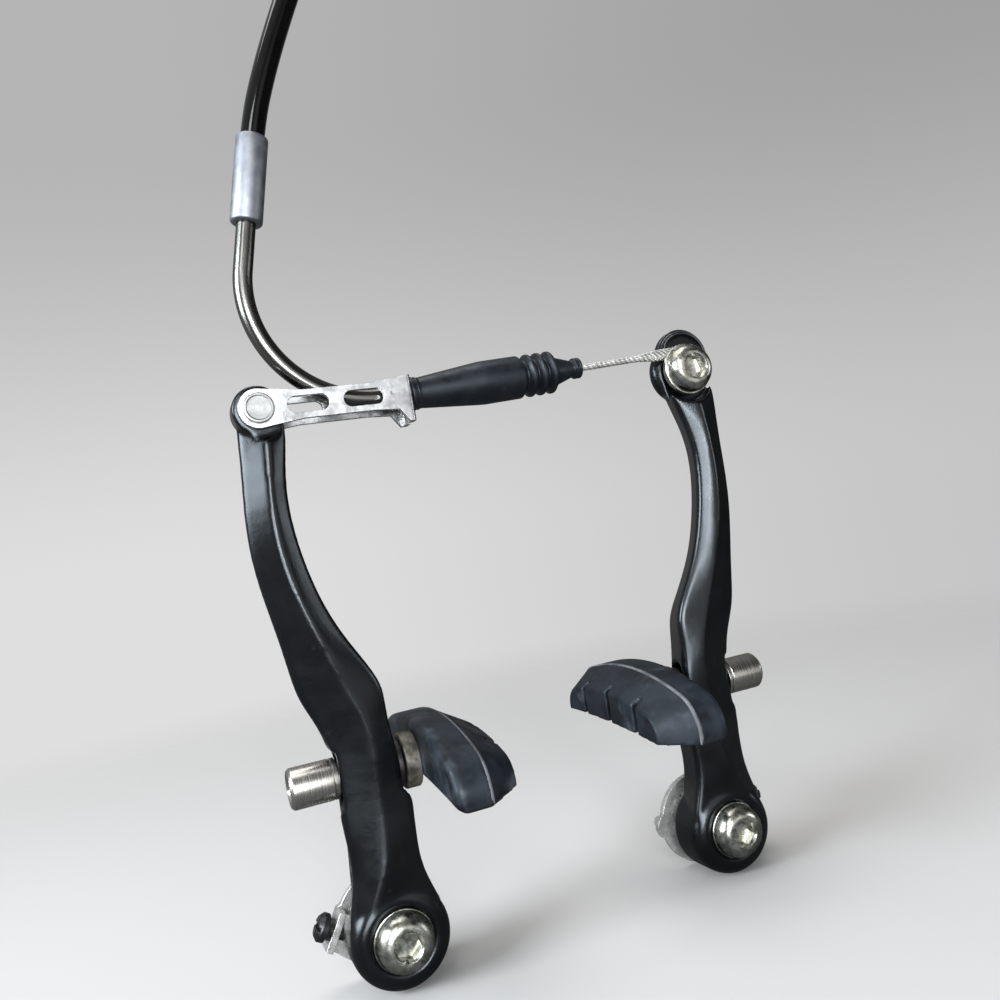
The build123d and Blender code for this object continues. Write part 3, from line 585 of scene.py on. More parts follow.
@dataclass(frozen=True)
class DomedBolt:
    """A plated bolt: threaded shank, flange, domed crown and a chamfered hexagon socket.

    Its seat is in metres. Its other sizes are millimetres, along its axis counted from the seat.
    """
    node: str
    body: Body
    seat: Triple
    length: float
    flange: float = 0.95
    dome: float = 5.8
    crown: float = 3.5
    lip: float = 3.15
    edge: float = 0.3
    shank: float = 3.0
    point: float = 0.5
    neck: float = 1.0
    unthreaded: float = 2.0
    thread_pitch: float = 1.0
    thread_depth: float = 0.35
    head: float = 6.25
    height: float = 4.2
    socket: float = 2.5
    socket_floor: float = 1.65
    socket_cone: float = 0.25
    chamfer: Pair = (0.55, 0.7)
    chamfer_width: float = 0.1

    def profile(self) -> Array:
        """Half section from the shank's end over the head to the socket's floor.

        The dome is a quarter of an ellipse; the thread is a zigzag of the shank's radius.

        Returns:
            Rows of (radius, along, hexagon).
        """
        end, top, socket = -self.length, self.height, self.socket
        crest = np.arange(2 * int((self.length - self.unthreaded) / self.thread_pitch))
        thread = np.stack([self.shank - self.thread_depth * (crest % 2),
                           end + self.point + crest * self.thread_pitch / 2, 0.0 * crest], -1)
        seat = rounded([(self.shank, -self.neck), (self.shank, 0), (self.head, 0, 0.15),
                        (self.head, self.flange, self.edge), (self.dome, self.flange)])
        swing = np.linspace(0, math.pi / 2, 16)
        dome = np.stack([self.crown + (self.dome - self.crown) * np.cos(swing),
                         self.flange + (top - self.flange) * np.sin(swing), 0.0 * swing], -1)
        hollow = rounded([
            (self.crown, top), (self.lip, top, 0.12),
            (socket + self.chamfer_width, top - self.chamfer[0], 0, 1),
            (socket, top - self.chamfer[1], 0, 1), (socket, self.socket_floor, 0, 1),
            (0, self.socket_floor - self.socket_cone, 0, 1)])
        return np.vstack([rounded([(0, end), (self.shank - self.point, end)]), thread, seat, dome, hollow])

    def build(self) -> Object:
        """The bolt as a surface of revolution."""
        return lathed(self.node, self.profile(), self.seat, (0, -1, 0), segments=96, sharp=30)

    def dress(self) -> None:
        """Builds and finishes the bolt."""
        dressed(self.build(), Finishes.BOLT, self.body, self.node)


@dataclass(frozen=True)
class Pivot:
    """What holds one arm: bolt, sleeve, spring plate, adjuster screw and return spring.

    Sizes are millimetres, drawn for the anchor side, and seats are depths in Y. The pairs are heights:
    the ends of the spring's foot and leg, and a span on the arm that is worked out but not used.
    """
    side: Side
    spacing: float = 40.0
    bolt_seat: float = -15.5
    bolt_reach: float = 0.8
    sleeve_radius: float = 5.6
    sleeve_bore: float = 4.2
    sleeve_start: float = 1.5
    wire: float = 0.9
    coil: float = 6.7
    coil_start: float = -2.6
    coil_pitch: float = 1.95
    foot: Pair = (-8.0, -0.3)
    leg: Pair = (0.6, 48.0)
    follows: Pair = (2.0, 32.0)
    lean: float = 4.0
    edge: float = 0.22

    def spring_path(self) -> Array:
        """Middle line of the spring's wire: the foot, a helix round the sleeve, and the long leg.

        The helix is (radius cos a, radius sin a, pitch a / turn); all of it is turned by the lean.

        Returns:
            Points in metres.
        """
        radius, pitch = self.coil, self.coil_pitch
        foot = np.linspace((radius, self.foot[0], 0), (radius, self.foot[1], 0), 10)
        angle = np.linspace(0, TURN, 73)
        coil = np.stack([radius * np.cos(angle), radius * np.sin(angle), pitch * angle / TURN], -1)
        leg = np.linspace((radius, self.leg[0], pitch), (radius, self.leg[1], pitch), 60)
        line = np.vstack([foot, coil, leg])
        across, up = tilted(line, self.lean).T
        x = self.side.value * (self.spacing + across)
        return MM * np.stack([x, self.coil_start - line[:, 2], up], -1)

    def spring(self) -> Object:
        """The spring's wire as a tube, fixed where it is made.

        Returns:
            The piece.
        """
        name = self.side.node("return_spring_looks")
        made = grid_object(name, swept(self.spring_path(), circle(self.wire, 16)), caps=True)
        low, high = (self.side.point(self.spacing, 0, height) for height in self.follows)
        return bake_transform(made)

    def sleeve(self) -> Object:
        """The sleeve as a turned ring with soft edges.

        Returns:
            The piece.
        """
        r, bore, start, end = self.sleeve_radius, self.sleeve_bore, self.sleeve_start, -self.bolt_seat
        ring = rounded([(bore, start, 0.2), (r, start, 0.3), (r, end, 0.3), (bore, end, 0.2)], True, 3)
        middle = self.side.point(self.spacing, 0, 0)
        return lathed(self.side.node("pivot_sleeve"), ring, middle, (0, -1, 0), True)

    def dress(self) -> None:
        """Builds and finishes all pieces of the pivot."""
        side = self.side
        seat, length = side.point(self.spacing, self.bolt_seat, 0), self.bolt_reach - self.bolt_seat
        DomedBolt(side.node("pivot_bolt"), Body.ROOT, seat, length,
                  flange=0.6, dome=6.1, crown=3.3, lip=3.05, edge=0.1).dress()
        dressed(self.sleeve(), Finishes.PLAIN, Body.ROOT, side.node("pivot_sleeve"))
        dressed(self.spring(), Finishes.SPRING, None, side.node("return_spring"))
        for name, finish in (("spring_plate", Finishes.ZINC), ("tension_screw", Finishes.SCREW)):
            node = side.node(name)
            dressed(bevelled(node, self.edge), finish, Body.ROOT, node)


@dataclass(frozen=True)
class Arm:
    """One cast arm with soft edges under black paint; the voxel is in millimetres."""
    side: Side
    voxel: float = 0.3
    rounds: int = 30
    back: float = 0.2

    def build(self) -> Object:
        """The arm's CAD shape with rounded edges."""
        return softened(self.side.node("arm"), self.voxel, self.rounds, self.back)

    def dress(self) -> None:
        """Builds and finishes the arm."""
        dressed(self.build(), Finishes.ARM, self.side.body, self.side.node("arm"))


@dataclass(frozen=True)
class DomedWasher:
    """A washer with one spherical face, in millimetres; its edge has a height and a rounded heel."""
    radius: float
    edge: float
    heel: float
    sphere: float
    rows: int
    bore: float = 3.4

    def face(self, radius: Array, gap: float = 0.0) -> Array:
        """Rows at places on the spherical face: along is the edge plus the sphere's rise over its rim.

        Args:
            radius: how far the places are from the axis.
            gap: how far they are off the face.

        Returns:
            Rows of (radius, along, hexagon), in millimetres.
        """
        rise = np.sqrt(self.sphere ** 2 - radius ** 2) - math.sqrt(self.sphere ** 2 - self.radius ** 2)
        return np.stack([radius, self.edge + gap + rise, 0.0 * radius], -1)

    def profile(self) -> Array:
        """The washer's closed section."""
        rim = rounded([(self.bore, 0), (self.radius, 0, self.heel), (self.radius, self.edge)])
        return np.vstack([rim, self.face(np.linspace(self.radius, self.bore, self.rows))])


@dataclass(frozen=True)
class PadUnit:
    """One rubber pad with its moulding seam, and the washers and nut on its stud.

    Sizes are millimetres, drawn for the anchor side. Starts and ends are counted from the arm's seats.
    """
    side: Side
    stud_y: float = -10.0
    height: float = 33.4
    inner_seat: float = 34.9
    outer_seat: float = 47.15
    inner_washer: DomedWasher = DomedWasher(5.2, 0.9, 0.15, 9.0, 10)
    outer_washer: DomedWasher = DomedWasher(4.2, 0.8, 0.12, 7.0, 8)
    cup: float = 5.8
    cup_mouth: float = 4.5
    cup_start: float = 1.4
    cup_end: float = 4.6
    cup_gap: float = 0.05
    nut_hollow: Outline = ((0, 5.4), (3.05, 5.4), (3.05, 1.62), (3.45, 1.42), (4.0, 1.0))
    nut_start: float = 1.2
    nut_end: float = 9.7
    nut_chamfer: Pair = (0.55, 0.6)
    nut_socket: float = 2.5
    nut_socket_depth: float = 3.4
    nut_socket_chamfer: Pair = (0.55, 0.45)
    nut_socket_cone: float = 0.1
    voxel: float = 0.36
    rounds: int = 3
    back: float = 0.52
    length: float = 53.6
    width: float = 11.5
    rise: float = 2.2
    tilt: float = 4.5
    top_curve: float = 72.0
    low_curve: float = 311.0
    corner: float = 8.5
    seam_x: float = 23.4
    seam_bead: float = 0.6
    seam_sunk: float = 0.59

    def cup_profile(self) -> Array:
        """Section of the cup that the inner domed washer tilts in.

        Returns:
            Rows of (radius, along, hexagon).
        """
        start, end, bore = self.cup_start, self.cup_end, self.inner_washer.bore
        rim = rounded([(self.cup_mouth, start), (self.cup, start, 0.35), (self.cup, end, 0.35), (bore, end)])
        reach = np.linspace(bore, self.cup_mouth - self.cup_gap, 8)
        return np.vstack([rim, self.inner_washer.face(reach, self.cup_gap)])

    def nut_profile(self) -> Array:
        """Half section of the barrel nut with a hexagon socket in its outer end.

        Returns:
            Rows of (radius, along, hexagon).
        """
        radius, end, socket = self.outer_washer.radius, self.nut_end, self.nut_socket
        floor = end - self.nut_socket_depth
        return rounded([
            *self.nut_hollow, (radius, self.nut_start, 0.1), (radius, end - self.nut_chamfer[1], 0.35),
            (radius - self.nut_chamfer[0], end, 0.25), (socket + self.nut_socket_chamfer[0], end, 0.12),
            (socket, end - self.nut_socket_chamfer[1], 0, 1), (socket, floor, 0, 1),
            (0, floor - self.nut_socket_cone, 0, 1)])

    def ring(self, name: str, profile: Array, outward: bool, finish: Finish, closed: bool = True) -> None:
        """Builds and finishes a piece that is turned round the stud's axis.

        Args:
            name: its node, without the side.
            profile: its section, counted from the arm's seat.
            outward: whether it sits on the arm's outer seat, and not on the inner one.
            finish: its finish.
            closed: whether the section's last row joins its first.
        """
        node = self.side.node(name)
        origin = self.side.point(self.outer_seat if outward else self.inner_seat, self.stud_y, self.height)
        axis = (self.side.value * (1 if outward else -1), 0, 0)
        dressed(lathed(node, profile, origin, axis, closed), finish, self.side.body, node)

    def seam_path(self) -> Array:
        """The pad's outline in side view, where its two mould halves met.

        Over and under the middle the line is the circle of the pad's upper or lower edge. An upper
        corner is a smaller circle inside the upper one that touches it and the straight end. All of
        it is sunk a little into the pad, and turned by the pad's tilt about the stud.

        Returns:
            Points of a closed line, in metres.
        """
        half, r = self.length / 2 - self.seam_sunk, self.corner - self.seam_sunk
        over, under = self.top_curve - self.seam_sunk, self.low_curve + self.seam_sunk
        top, low = self.rise + self.width / 2 - self.top_curve, self.rise - self.width / 2 - self.low_curve
        up = math.sqrt((over - r) ** 2 - (half - r) ** 2)
        meet = math.atan2(up, half - r)
        swing, corner = np.linspace(math.pi - meet, meet, 60), np.linspace(meet, 0, 16)
        lower = np.linspace(half, -half, 60)
        upper = np.stack([over * np.cos(swing), top + over * np.sin(swing)], -1)
        near = np.stack([half - r + r * np.cos(corner), top + up + r * np.sin(corner)], -1)
        edge = np.stack([lower, low + np.sqrt(under ** 2 - lower ** 2)], -1)
        line = np.vstack([upper, near, edge, (near * (-1, 1))[::-1], upper[:1]])
        y, z = tilted(line, self.tilt).T
        return MM * np.stack([0 * y + self.side.value * self.seam_x, self.stud_y + y, self.height + z], -1)

    def seam(self) -> Object:
        """The moulding seam: a fine bead round the pad."""
        points = swept(self.seam_path(), circle(self.seam_bead, 10), (1, 0, 0))
        return grid_object(self.side.node("pad_seam"), points, caps=True)

    def dress(self) -> None:
        """Builds and finishes all pieces of the pad."""
        node, body = self.side.node("pad"), self.side.body
        dressed(softened(node, self.voxel, self.rounds, self.back), Finishes.PAD, body, node)
        # The seam bead's light colour is a painted highlight.
        dressed(self.seam(), Finishes.SEAM, body)
        self.ring("pad_dome_washer", self.inner_washer.profile(), False, Finishes.BLACK_WASHER)
        self.ring("pad_cup_washer", self.cup_profile(), False, Finishes.BEIGE)
        self.ring("nut_washer", self.outer_washer.profile(), True, Finishes.PLAIN)
        self.ring("pad_nut", self.nut_profile(), True, Finishes.NUT, False)
        dressed(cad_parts[self.side.node("pad_stud")], Finishes.PLAIN)


@dataclass(frozen=True)
class LinkUnit:
    """The folded link with its rivet, and the noodle with its nose and ferrule.

    Sizes are millimetres; the rivet's back and front are depths in -Y, and its dish is drawn from its face.
    """
    rivet_x: float = -51.4
    rivet_z: float = 109.5
    rivet_back: float = 8.0
    rivet_front: float = 17.0
    rivet_shank: float = 2.4
    rivet_head: float = 3.1
    rivet_height: float = 0.9
    rivet_dish: Outline = ((2.55, 0, 0.1), (2.35, -0.12, 0.1), (0, -0.14))
    edge: float = 0.28
    end_plate: float = -19.2
    sheet: float = 1.2
    line_y: float = -12.5
    line_z: float = 109.8
    tube: float = 2.0
    bore: float = 1.45
    bend: float = 24.0
    bend_x: float = -26.0
    bend_gap: float = 0.4
    lean: float = 12.6
    run: float = 10.0
    grip: float = 6.0
    nose_flange: float = 3.2
    nose_neck: float = 2.5
    nose_tip: float = -11.33
    sleeve: float = 3.35
    sleeve_length: float = 18.8
    socket: float = 4.5
    cable: float = 2.5
    gap: float = 0.05

    @property
    def nose_start(self) -> float:
        """Where the noodle and its nose start, in X."""
        return self.end_plate - 2 * self.sheet

    @property
    def upper_direction(self) -> Array:
        """Direction of the noodle's upper run, as X and Z."""
        lean = math.radians(self.lean)
        return np.array((math.sin(lean), math.cos(lean)))

    @property
    def bend_end(self) -> Array:
        """Where the noodle's bend ends, as X and Z in millimetres."""
        across, up = self.upper_direction
        return np.array((self.bend_x - self.bend * up, self.line_z + self.bend + self.bend * across))

    def at_run(self, distance: float) -> Triple:
        """A place on the upper run, a distance in millimetres from the bend, in metres."""
        x, z = self.bend_end + distance * self.upper_direction
        return metres(x, self.line_y, z)

    def noodle(self) -> Object:
        """The bent tube: a circle carried along a straight nose, the bend's circle and the upper run.

        The outer surface is followed by the bore's, taken backwards.

        Returns:
            The piece.
        """
        middle, straight = self.line_z + self.bend, self.bend_x + self.bend_gap
        nose = np.linspace((self.nose_start, self.line_z), (straight, self.line_z), 6)
        angle = np.radians(np.linspace(-90, -180 - self.lean, 80))
        bend = np.stack([self.bend_x + self.bend * np.cos(angle), middle + self.bend * np.sin(angle)], -1)
        along = np.linspace(self.bend_gap, self.run + self.grip, 16)[:, None]
        run = self.bend_end + along * self.upper_direction
        x, z = np.vstack([nose, bend, run]).T
        path = MM * np.stack([x, np.full_like(x, self.line_y), z], -1)
        outer, bore = (swept(path, circle(radius, 40)) for radius in (self.tube, self.bore))
        return grid_object("noodle_looks", np.concatenate([outer, bore[::-1]]), True)

    def rivet(self) -> Object:
        """The rivet with a slightly dished face.

        Returns:
            The piece.
        """
        head, shank, back, front = self.rivet_head, self.rivet_shank, self.rivet_back, self.rivet_front
        start, face = back - self.rivet_height, front + self.rivet_height
        dish = [(radius, face + along, *bend) for radius, along, *bend in self.rivet_dish]
        profile = rounded([(0, start), (head, start, 0.25), (head, back), (shank, back), (shank, front),
                           (head, front), (head, face, 0.22), *dish])
        return lathed("link_rivet", profile, metres(self.rivet_x, 0, self.rivet_z), (0, -1, 0))

    def nose(self) -> Object:
        """The turned nose inside the link's end plate and the boot.

        Returns:
            The piece.
        """
        flange, neck, tip = self.nose_flange, self.nose_neck, self.nose_tip - self.nose_start
        profile = rounded([(self.bore, 0), (flange, 0, 0.2), (flange, self.sheet, 0.2), (neck, self.sheet),
                           (neck, 3 * self.sheet), (self.tube, tip, 0.2), (self.bore, tip)], True, 3)
        start = metres(self.nose_start, self.line_y, self.line_z)
        return lathed("noodle_nose", profile, start, (1, 0, 0), True)

    def ferrule(self) -> Object:
        """The satin sleeve with rounded ends.

        Returns:
            The piece.
        """
        r, end, seat = self.sleeve, self.sleeve_length, self.sleeve_length - self.socket
        tube, cable = self.tube + self.gap, self.cable + self.gap
        profile = rounded([(tube, 0), (r, 0, 0.6), (r, end, 0.35), (cable, end, 0.2), (cable, seat),
                           (self.bore, seat), (self.bore, self.grip), (tube, self.grip)], True, 5)
        across, up = self.upper_direction
        return lathed("noodle_ferrule", profile, self.at_run(self.run), (across, 0, up), True, 64)

    def dress(self) -> None:
        """Builds and finishes the link and what it carries."""
        dressed(bevelled("link", self.edge), Finishes.LINK, Body.LINK, "link")
        dressed(self.rivet(), Finishes.RIVET, Body.LEFT, "link_rivet")
        dressed(self.noodle(), Finishes.NOODLE, Body.LINK, "noodle")
        dressed(self.nose(), Finishes.NOODLE, Body.LINK, "noodle_nose")
        dressed(self.ferrule(), Finishes.FERRULE, Body.LINK, "noodle_ferrule")
        dressed(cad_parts["inner_wire_in_noodle"], Finishes.CABLE)


@dataclass(frozen=True)
class Anchor:
    """The bolt and washer that clamp the wire on its arm, in millimetres; angles are degrees."""
    x: float = 50.7
    z: float = 108.3
    seat: float = -14.3
    reach: float = 9.6
    wire_z: float = 113.05
    washer_radius: float = 5.9
    washer_bore: float = 3.05
    washer_height: float = 1.0
    top_x: float = 52.8
    top_z: float = 112.0
    ridge_radius: float = 6.94
    ridge_y: float = -10.48
    ridge_arc: Pair = (-20, 215)
    ridge_bead: float = 0.16
    ridges_made: int = 3
    step_width: float = 0.5
    step_depth: float = 0.4

    def washer(self) -> Object:
        """The clamping washer under the bolt.

        Returns:
            The piece.
        """
        bore, radius, height = self.washer_bore, self.washer_radius, self.washer_height
        profile = rounded([(bore, 0), (radius, 0, 0.2), (radius, height, 0.3), (bore, height)], True, 4)
        return lathed("anchor_washer", profile, metres(self.x, self.seat + height, self.z), (0, -1, 0), True)

    def ridges(self) -> Object:
        """The crisp edges of the fine steps round the head's top.

        Each edge is a fine bead along an arc (x + r cos a, y, z + r sin a) about the top's centre; a
        step inwards is smaller by its width and lies further out by its depth.

        Returns:
            The beads as one piece.
        """
        angle = np.radians(np.linspace(*self.ridge_arc, 90))
        beads = []
        for step in range(self.ridges_made):
            r, y = self.ridge_radius - self.step_width * step, self.ridge_y - self.step_depth * step
            x, z = self.top_x + r * np.cos(angle), self.top_z + r * np.sin(angle)
            points = swept(MM * np.stack([x, np.full_like(x, y), z], -1), circle(self.ridge_bead, 10))
            beads.append(grid_object(f"anchor_head_ridge_{step}", points, caps=True))
        with bpy.context.temp_override(active_object=beads[0], selected_editable_objects=beads):
            bpy.ops.object.join()
        return beads[0]

    def dress(self) -> None:
        """Builds and finishes bolt, washer and the head's ridges."""
        # The ridge beads' lighter colour is a painted highlight on the black head.
        dressed(self.ridges(), Finishes.EDGE_HIGHLIGHT, Body.RIGHT)
        DomedBolt("anchor_bolt", Body.RIGHT, metres(self.x, self.seat, self.z), self.reach).dress()
        dressed(self.washer(), Finishes.BOLT, Body.RIGHT, "anchor_washer")


@dataclass(frozen=True)
class CableUnit:
    """The housing with its end cap, the boot and the taut inner wire, in millimetres.

    The route is X and Z from the housing's seat, the boot's outline is counted from its rim, and the
    cap's grooves from the housing's end.
    """
    link: LinkUnit
    anchor: Anchor
    length: float = 54.0
    route: Outline = ((0, 0), (1.86, 8.3), (5.6, 18.7), (10.3, 29.7), (15.2, 40.1), (20, 50))
    cap_radius: float = 3.1
    cap_socket: float = 7.0
    cap_end: float = 3.94
    cap_grooves: Pair = (-4.2, -2.2)
    groove_half: float = 0.4
    groove_depth: float = 0.3
    drop: float = 0.45
    tail: float = 54.9
    wire_radius: float = 0.75
    wire_core: float = 0.7
    wire_start: float = -11.83
    lay: float = 7.5
    strands: int = 6
    spread: float = 0.95
    spread_from: float = 37.0
    spread_to: float = 46.5
    boot_gap: float = 0.2
    boot_tube: Outline = (
        (3.0, 0), (3.75, 0, 0.3), (3.75, 0.9, 0.3), (3.25, 1.15, 0.12), (3.62, 1.55, 0.2), (3.35, 2.2, 0.3),
        (4.85, 17.0, 18.0), (4.85, 26.1, 0.4))
    boot_folds: Outline = (
        (3.35, 27.4, 0.35), (4.85, 28.4, 0.35), (4.85, 29.0, 0.3), (3.35, 30.0, 0.3), (4.85, 31.0, 0.3),
        (4.85, 31.6, 0.3), (3.35, 32.6, 0.3), (4.85, 33.6, 0.3), (4.85, 34.2, 0.35), (3.35, 35.2, 0.4))
    boot_tip: Outline = (
        (1.95, 39.6, 0.2), (2.05, 40.1, 0.1), (2.4, 40.3, 0.25), (2.4, 41.0, 0.2), (2.2, 41.2, 0.1),
        (2.4, 41.4, 0.2), (2.4, 41.9, 0.25), (1.45, 41.9))
    boot_inside: Outline = ((1.45, 40.0), (2.55, 35.2), (2.55, 27.4), (4.05, 24.8), (4.05, 17.0), (2.55, 0))

    def housing_points(self) -> Array:
        """Route of the housing from its seat in the ferrule.

        Returns:
            Points in metres.
        """
        link = self.link
        seat = np.array(link.at_run(link.run + link.sleeve_length - link.socket + link.gap))
        x, z = np.array(self.route).T * MM
        return seat + np.stack([x, 0 * x, z], -1)

    def housing(self) -> Object:
        """The housing as a round curve along its route.

        Returns:
            The piece.
        """
        points = np.insert(self.housing_points(), 3, 1.0, axis=1)
        curve = bpy.data.curves.new("outer_housing_looks", "CURVE")
        curve.dimensions = "3D"
        curve.bevel_depth = self.link.cable * MM
        curve.bevel_resolution = 8
        curve.use_fill_caps = True
        curve.resolution_u = 16
        spline = curve.splines.new("NURBS")
        spline.points.add(len(points) - 1)
        spline.points.foreach_set("co", points.astype(np.float32).ravel())
        spline.order_u = 3
        spline.use_endpoint_u = True
        return linked("outer_housing_looks", curve)

    def cap(self) -> Object:
        """Closed end fitting with two pressed grooves.

        Returns:
            The piece.
        """
        r, bore = self.cap_radius, self.link.cable + self.link.gap
        start, end, half = -self.cap_socket, self.cap_end, self.groove_half
        groove = ((-half, 0), (0, self.groove_depth), (half, 0))
        grooves = [(r - depth, at + shift, 0.2) for at in self.cap_grooves for shift, depth in groove]
        profile = rounded([(0, 0), (bore, 0), (bore, start), (r, start, 0.2), *grooves, (r, end, 0.5),
                           (0, end)])
        before, last = self.housing_points()[-2:]
        return lathed("housing_end_cap", profile, last, last - before, segments=56)

    def wire(self) -> Object:
        """Twisted wire: each section is a ring of lobes, turned in step with its place along the line.

        The line is straight from the link's end plate to the anchor. The radius is the wire's times
        the core's share plus the rest times the root of the lobe's cosine, so that the strands touch
        in narrow grooves. Towards the clamp, along a smooth step, the section grows taller by the
        spread and thinner by a third of it.

        Returns:
            The piece.
        """
        link = self.link
        x = np.linspace(self.wire_start, self.tail, 300)
        share = (x - link.end_plate) / (self.anchor.x - link.end_plate)
        start = link.line_z - self.drop
        height = start + share * (self.anchor.wire_z - start)
        line = MM * np.stack([x, np.full_like(x, link.line_y), height], -1)
        angle = np.linspace(0, TURN, 60, endpoint=False)
        lobe = np.sqrt(np.abs(np.cos(self.strands / 2 * (angle - TURN * x[:, None] / self.lay))))
        radius = self.wire_radius * MM * (self.wire_core + (1 - self.wire_core) * lobe)
        near = np.clip((x - self.spread_from) / (self.spread_to - self.spread_from), 0, 1)
        flare = self.spread * (near * near * (3 - 2 * near))[:, None]
        thick, tall = radius * np.cos(angle) * (1 - flare / 3), radius * np.sin(angle) * (1 + flare)
        points = swept(line, np.stack([thick, tall], -1))
        return grid_object("inner_wire_looks", points, caps=True, sharp=80)

    def boot(self) -> Object:
        """Bellows boot: beaded rim, swelling tube, folds, cone and a bead on the wire.

        Returns:
            The piece.
        """
        profile = rounded([*self.boot_tube, *self.boot_folds, *self.boot_tip, *self.boot_inside], True)
        link = self.link
        start = np.array(metres(link.end_plate + self.boot_gap, link.line_y, link.line_z))
        axis = np.array(metres(self.anchor.x, link.line_y, self.anchor.wire_z)) - start
        return lathed("boot", profile, start, axis, True)

    def dress(self) -> None:
        """Builds and finishes the housing and the wire with its boot."""
        cap = dressed(self.cap(), Finishes.SCREW, Body.LINK, "housing_end_cap")
        housing = dressed(self.housing(), Finishes.HOUSING, Body.LINK, "outer_housing")
        tuple(self.housing_points()[0])
        dressed(self.boot(), Finishes.BOOT, Body.LINK, "boot")
        dressed(self.wire(), Finishes.CABLE, Body.WIRE, "inner_wire")


@dataclass(frozen=True)
class Light:
    """A soft box: direction from the brake, size in metres, power in watts and colour."""
    name: str
    direction: Triple
    size: Pair
    power: float
    colour: Triple = (0.92, 0.97, 1.0)


@dataclass(frozen=True)
class Shade:
    """A tone that changes softly with how far a ray points in a direction."""
    direction: Triple
    span: Pair
    tones: Pair


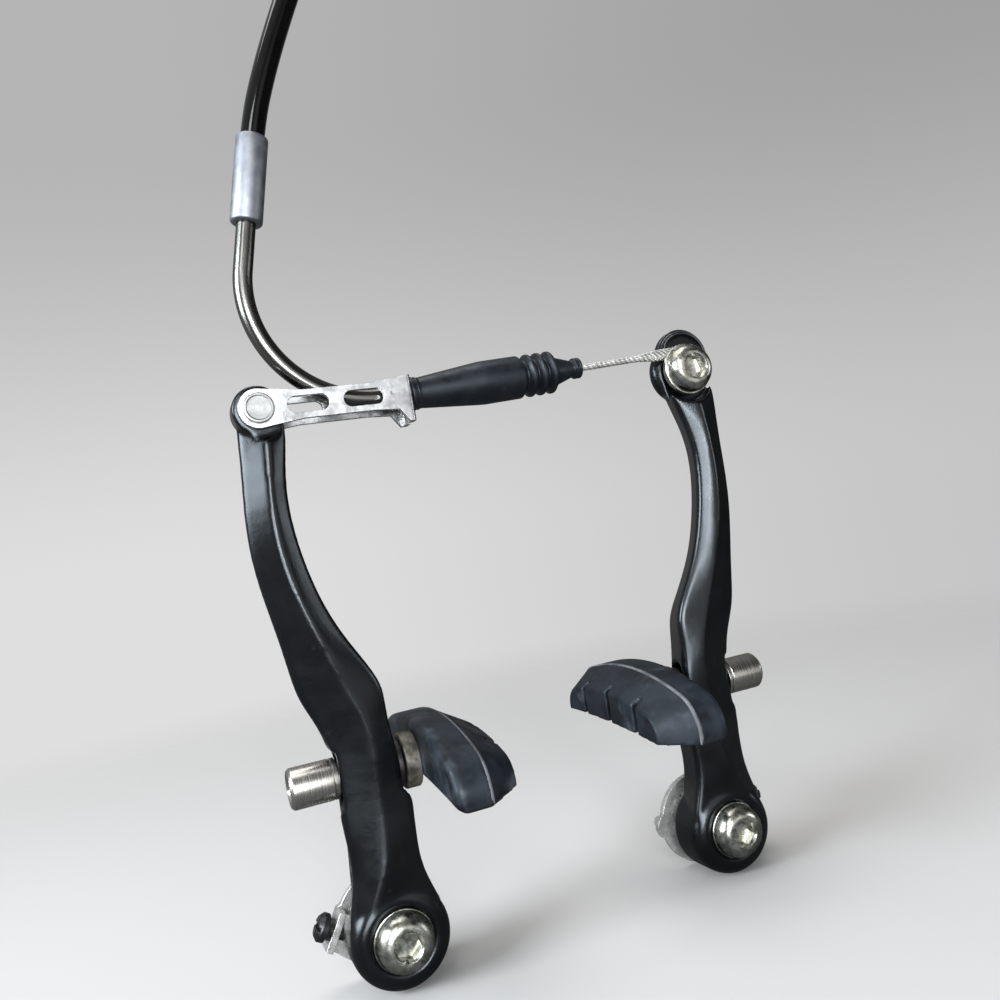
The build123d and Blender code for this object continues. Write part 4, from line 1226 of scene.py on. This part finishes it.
@dataclass(frozen=True)
class Studio:
    """Camera, soft boxes, pale background and floor, in metres.

    The camera's turn is in radians about X, Y and Z, taken in the order Y, X, Z. The room is what
    reflections see, the sum of two shades; the wall is what the camera sees, the product of two.
    """
    place: Triple = (-0.075635, -0.200059, 0.07536)
    turn: Triple = (0.0435738, 0.1737143, -0.3730543)
    sensor: float = 36.0
    lens: float = 32.7
    centre: Triple = (0.0, -0.012, 0.06)
    distance: float = 0.9
    lights: tuple[Light, ...] = (
        Light("window", (-0.91, -0.177, 0.375), (0.50, 0.42), 11.0, (0.86, 0.94, 1.0)),
        Light("front", (-0.308, -0.946, 0.10), (0.40, 0.40), 6.0),
        Light("right", (0.885, -0.45, 0.12), (0.37, 0.22), 0.8),
        Light("ridge", (-0.12, -0.985, 0.12), (0.06, 0.45), 1.6),
        Light("upper", (-0.41, -0.71, 0.57), (0.25, 0.25), 1.1, (0.95, 0.98, 1.0)),
        Light("top", (-0.1, 0.1, 1.0), (0.7, 0.7), 4.0, (1.0, 1.0, 1.0)))
    room: tuple[Shade, Shade] = (Shade((-0.75, 0.35, 0.45), (-0.5, 0.6), (0.03, 0.26)),
                                 Shade((0.15, -0.98, -0.08), (0.78, 0.97), (0.0, 0.9)))
    wall: tuple[Shade, Shade] = (Shade((0, 0, 1), (0.0, 0.45), (0.74, 0.46)),
                                 Shade((1, 0, 0), (0.0, 0.9), (1.0, 0.74)))
    floor_half: float = 0.8
    floor_gap: float = 0.0002
    floor_fade: Pair = (0.12, 0.55)
    floor_tone: Triple = (0.64, 0.622, 0.61)
    # Floor colour for reflections only, far darker than the floor: a painted dark reflection.
    floor_painted_reflection: Triple = (0.10, 0.10, 0.10)

    def set_camera(self) -> None:
        """Sets up the photograph's camera."""
        data = bpy.data.cameras.new("camera")
        data.sensor_width, data.lens = self.sensor, self.lens
        data.clip_start, data.clip_end = 0.01, 20.0
        made = linked("camera", data)
        stood = Euler(self.turn, "YXZ").to_matrix() @ Euler((math.pi / 2, 0, 0)).to_matrix()
        made.matrix_world = stood.to_4x4()
        made.location = self.place
        bpy.context.scene.camera = made

    def set_lights(self) -> None:
        """Sets up soft boxes that look at the brake and aren't seen themselves."""
        for light in self.lights:
            data = bpy.data.lights.new(light.name, "AREA")
            data.shape = "RECTANGLE"
            data.size, data.size_y = light.size
            data.energy, data.color = light.power, light.colour
            made = linked(light.name, data)
            away = Vector(light.direction).normalized()
            made.location = Vector(self.centre) + away * self.distance
            made.rotation_euler = away.to_track_quat("Z", "Y").to_euler()
            made.visible_camera = False

    def set_world(self) -> None:
        """Sets up a pale wall for the camera, and a room for reflections that is paler on the left."""
        world = bpy.data.worlds.new("studio")
        bpy.context.scene.world = world
        graph = Graph(world, "Background")

        def tone(operation: str, shades: tuple[Shade, Shade]) -> Socket:
            """Two shades joined by an operation."""
            dots = [graph.worked_out("VectorMath", "DOT_PRODUCT", graph.coords["Generated"],
                                     Vector(shade.direction).normalized()) for shade in shades]
            values = [graph.stretched(dot, shade.span, shade.tones) for dot, shade in zip(dots, shades)]
            return graph.worked_out("Math", operation, *values)

        room = graph.feed(graph.shader, {"Color": tone("ADD", self.room)})
        wall = graph.feed(graph.nodes.new("ShaderNodeBackground"), {"Color": tone("MULTIPLY", self.wall)})
        ray = graph.nodes.new("ShaderNodeLightPath").outputs
        seen = graph.worked_out("Math", "MAXIMUM", ray["Is Camera Ray"], ray["Is Transmission Ray"])
        mix = graph.feed(graph.nodes.new("ShaderNodeMixShader"), {
            "Fac": seen, 1: room.outputs["Background"], 2: wall.outputs["Background"]})
        graph.feed(graph.nodes["World Output"], {"Surface": mix.outputs["Shader"]})

    def set_floor(self) -> None:
        """Sets up a pale floor under the brake that fades into the wall, so that no horizon shows."""
        low, half = CAD_BOX[0].z - self.floor_gap, self.floor_half
        mesh = bpy.data.meshes.new("floor")
        corners = [(-half, -half, low), (half, -half, low), (half, half, low), (-half, half, low)]
        mesh.from_pydata(corners, [], [(0, 1, 2, 3)])
        material = bpy.data.materials.new("floor_pale")
        graph = Graph(material)
        # Glossy rays see the floor dark: a painted dark reflection on the shiny pieces.
        glossy = graph.nodes.new("ShaderNodeLightPath").outputs["Is Glossy Ray"]
        reach = graph.worked_out("VectorMath", "LENGTH", graph.place(Pattern.CLOUDS))
        graph.feed(graph.shader, {
            "Base Color": graph.mixed(glossy, self.floor_tone, self.floor_painted_reflection),
            "Roughness": 0.9, "Specular IOR Level": 0.1,
            "Alpha": graph.stretched(reach, self.floor_fade, (1.0, 0.0))})
        mesh.materials.append(material)
        linked("floor", mesh)

    def dress(self) -> None:
        """Sets up camera, light and floor."""
        self.set_camera()
        self.set_lights()
        self.set_world()
        self.set_floor()
        bpy.context.scene.view_settings.view_transform = "Standard"


def main() -> None:
    logging.basicConfig(level=logging.INFO, format="%(message)s")
    link, anchor = LinkUnit(), Anchor()
    for unit in (Studio(), CableUnit(link, anchor), link, anchor):
        unit.dress()
    for side in Side:
        for unit in (Arm(side), Pivot(side), PadUnit(side)):
            unit.dress()


if __name__ == "__main__":
    main()
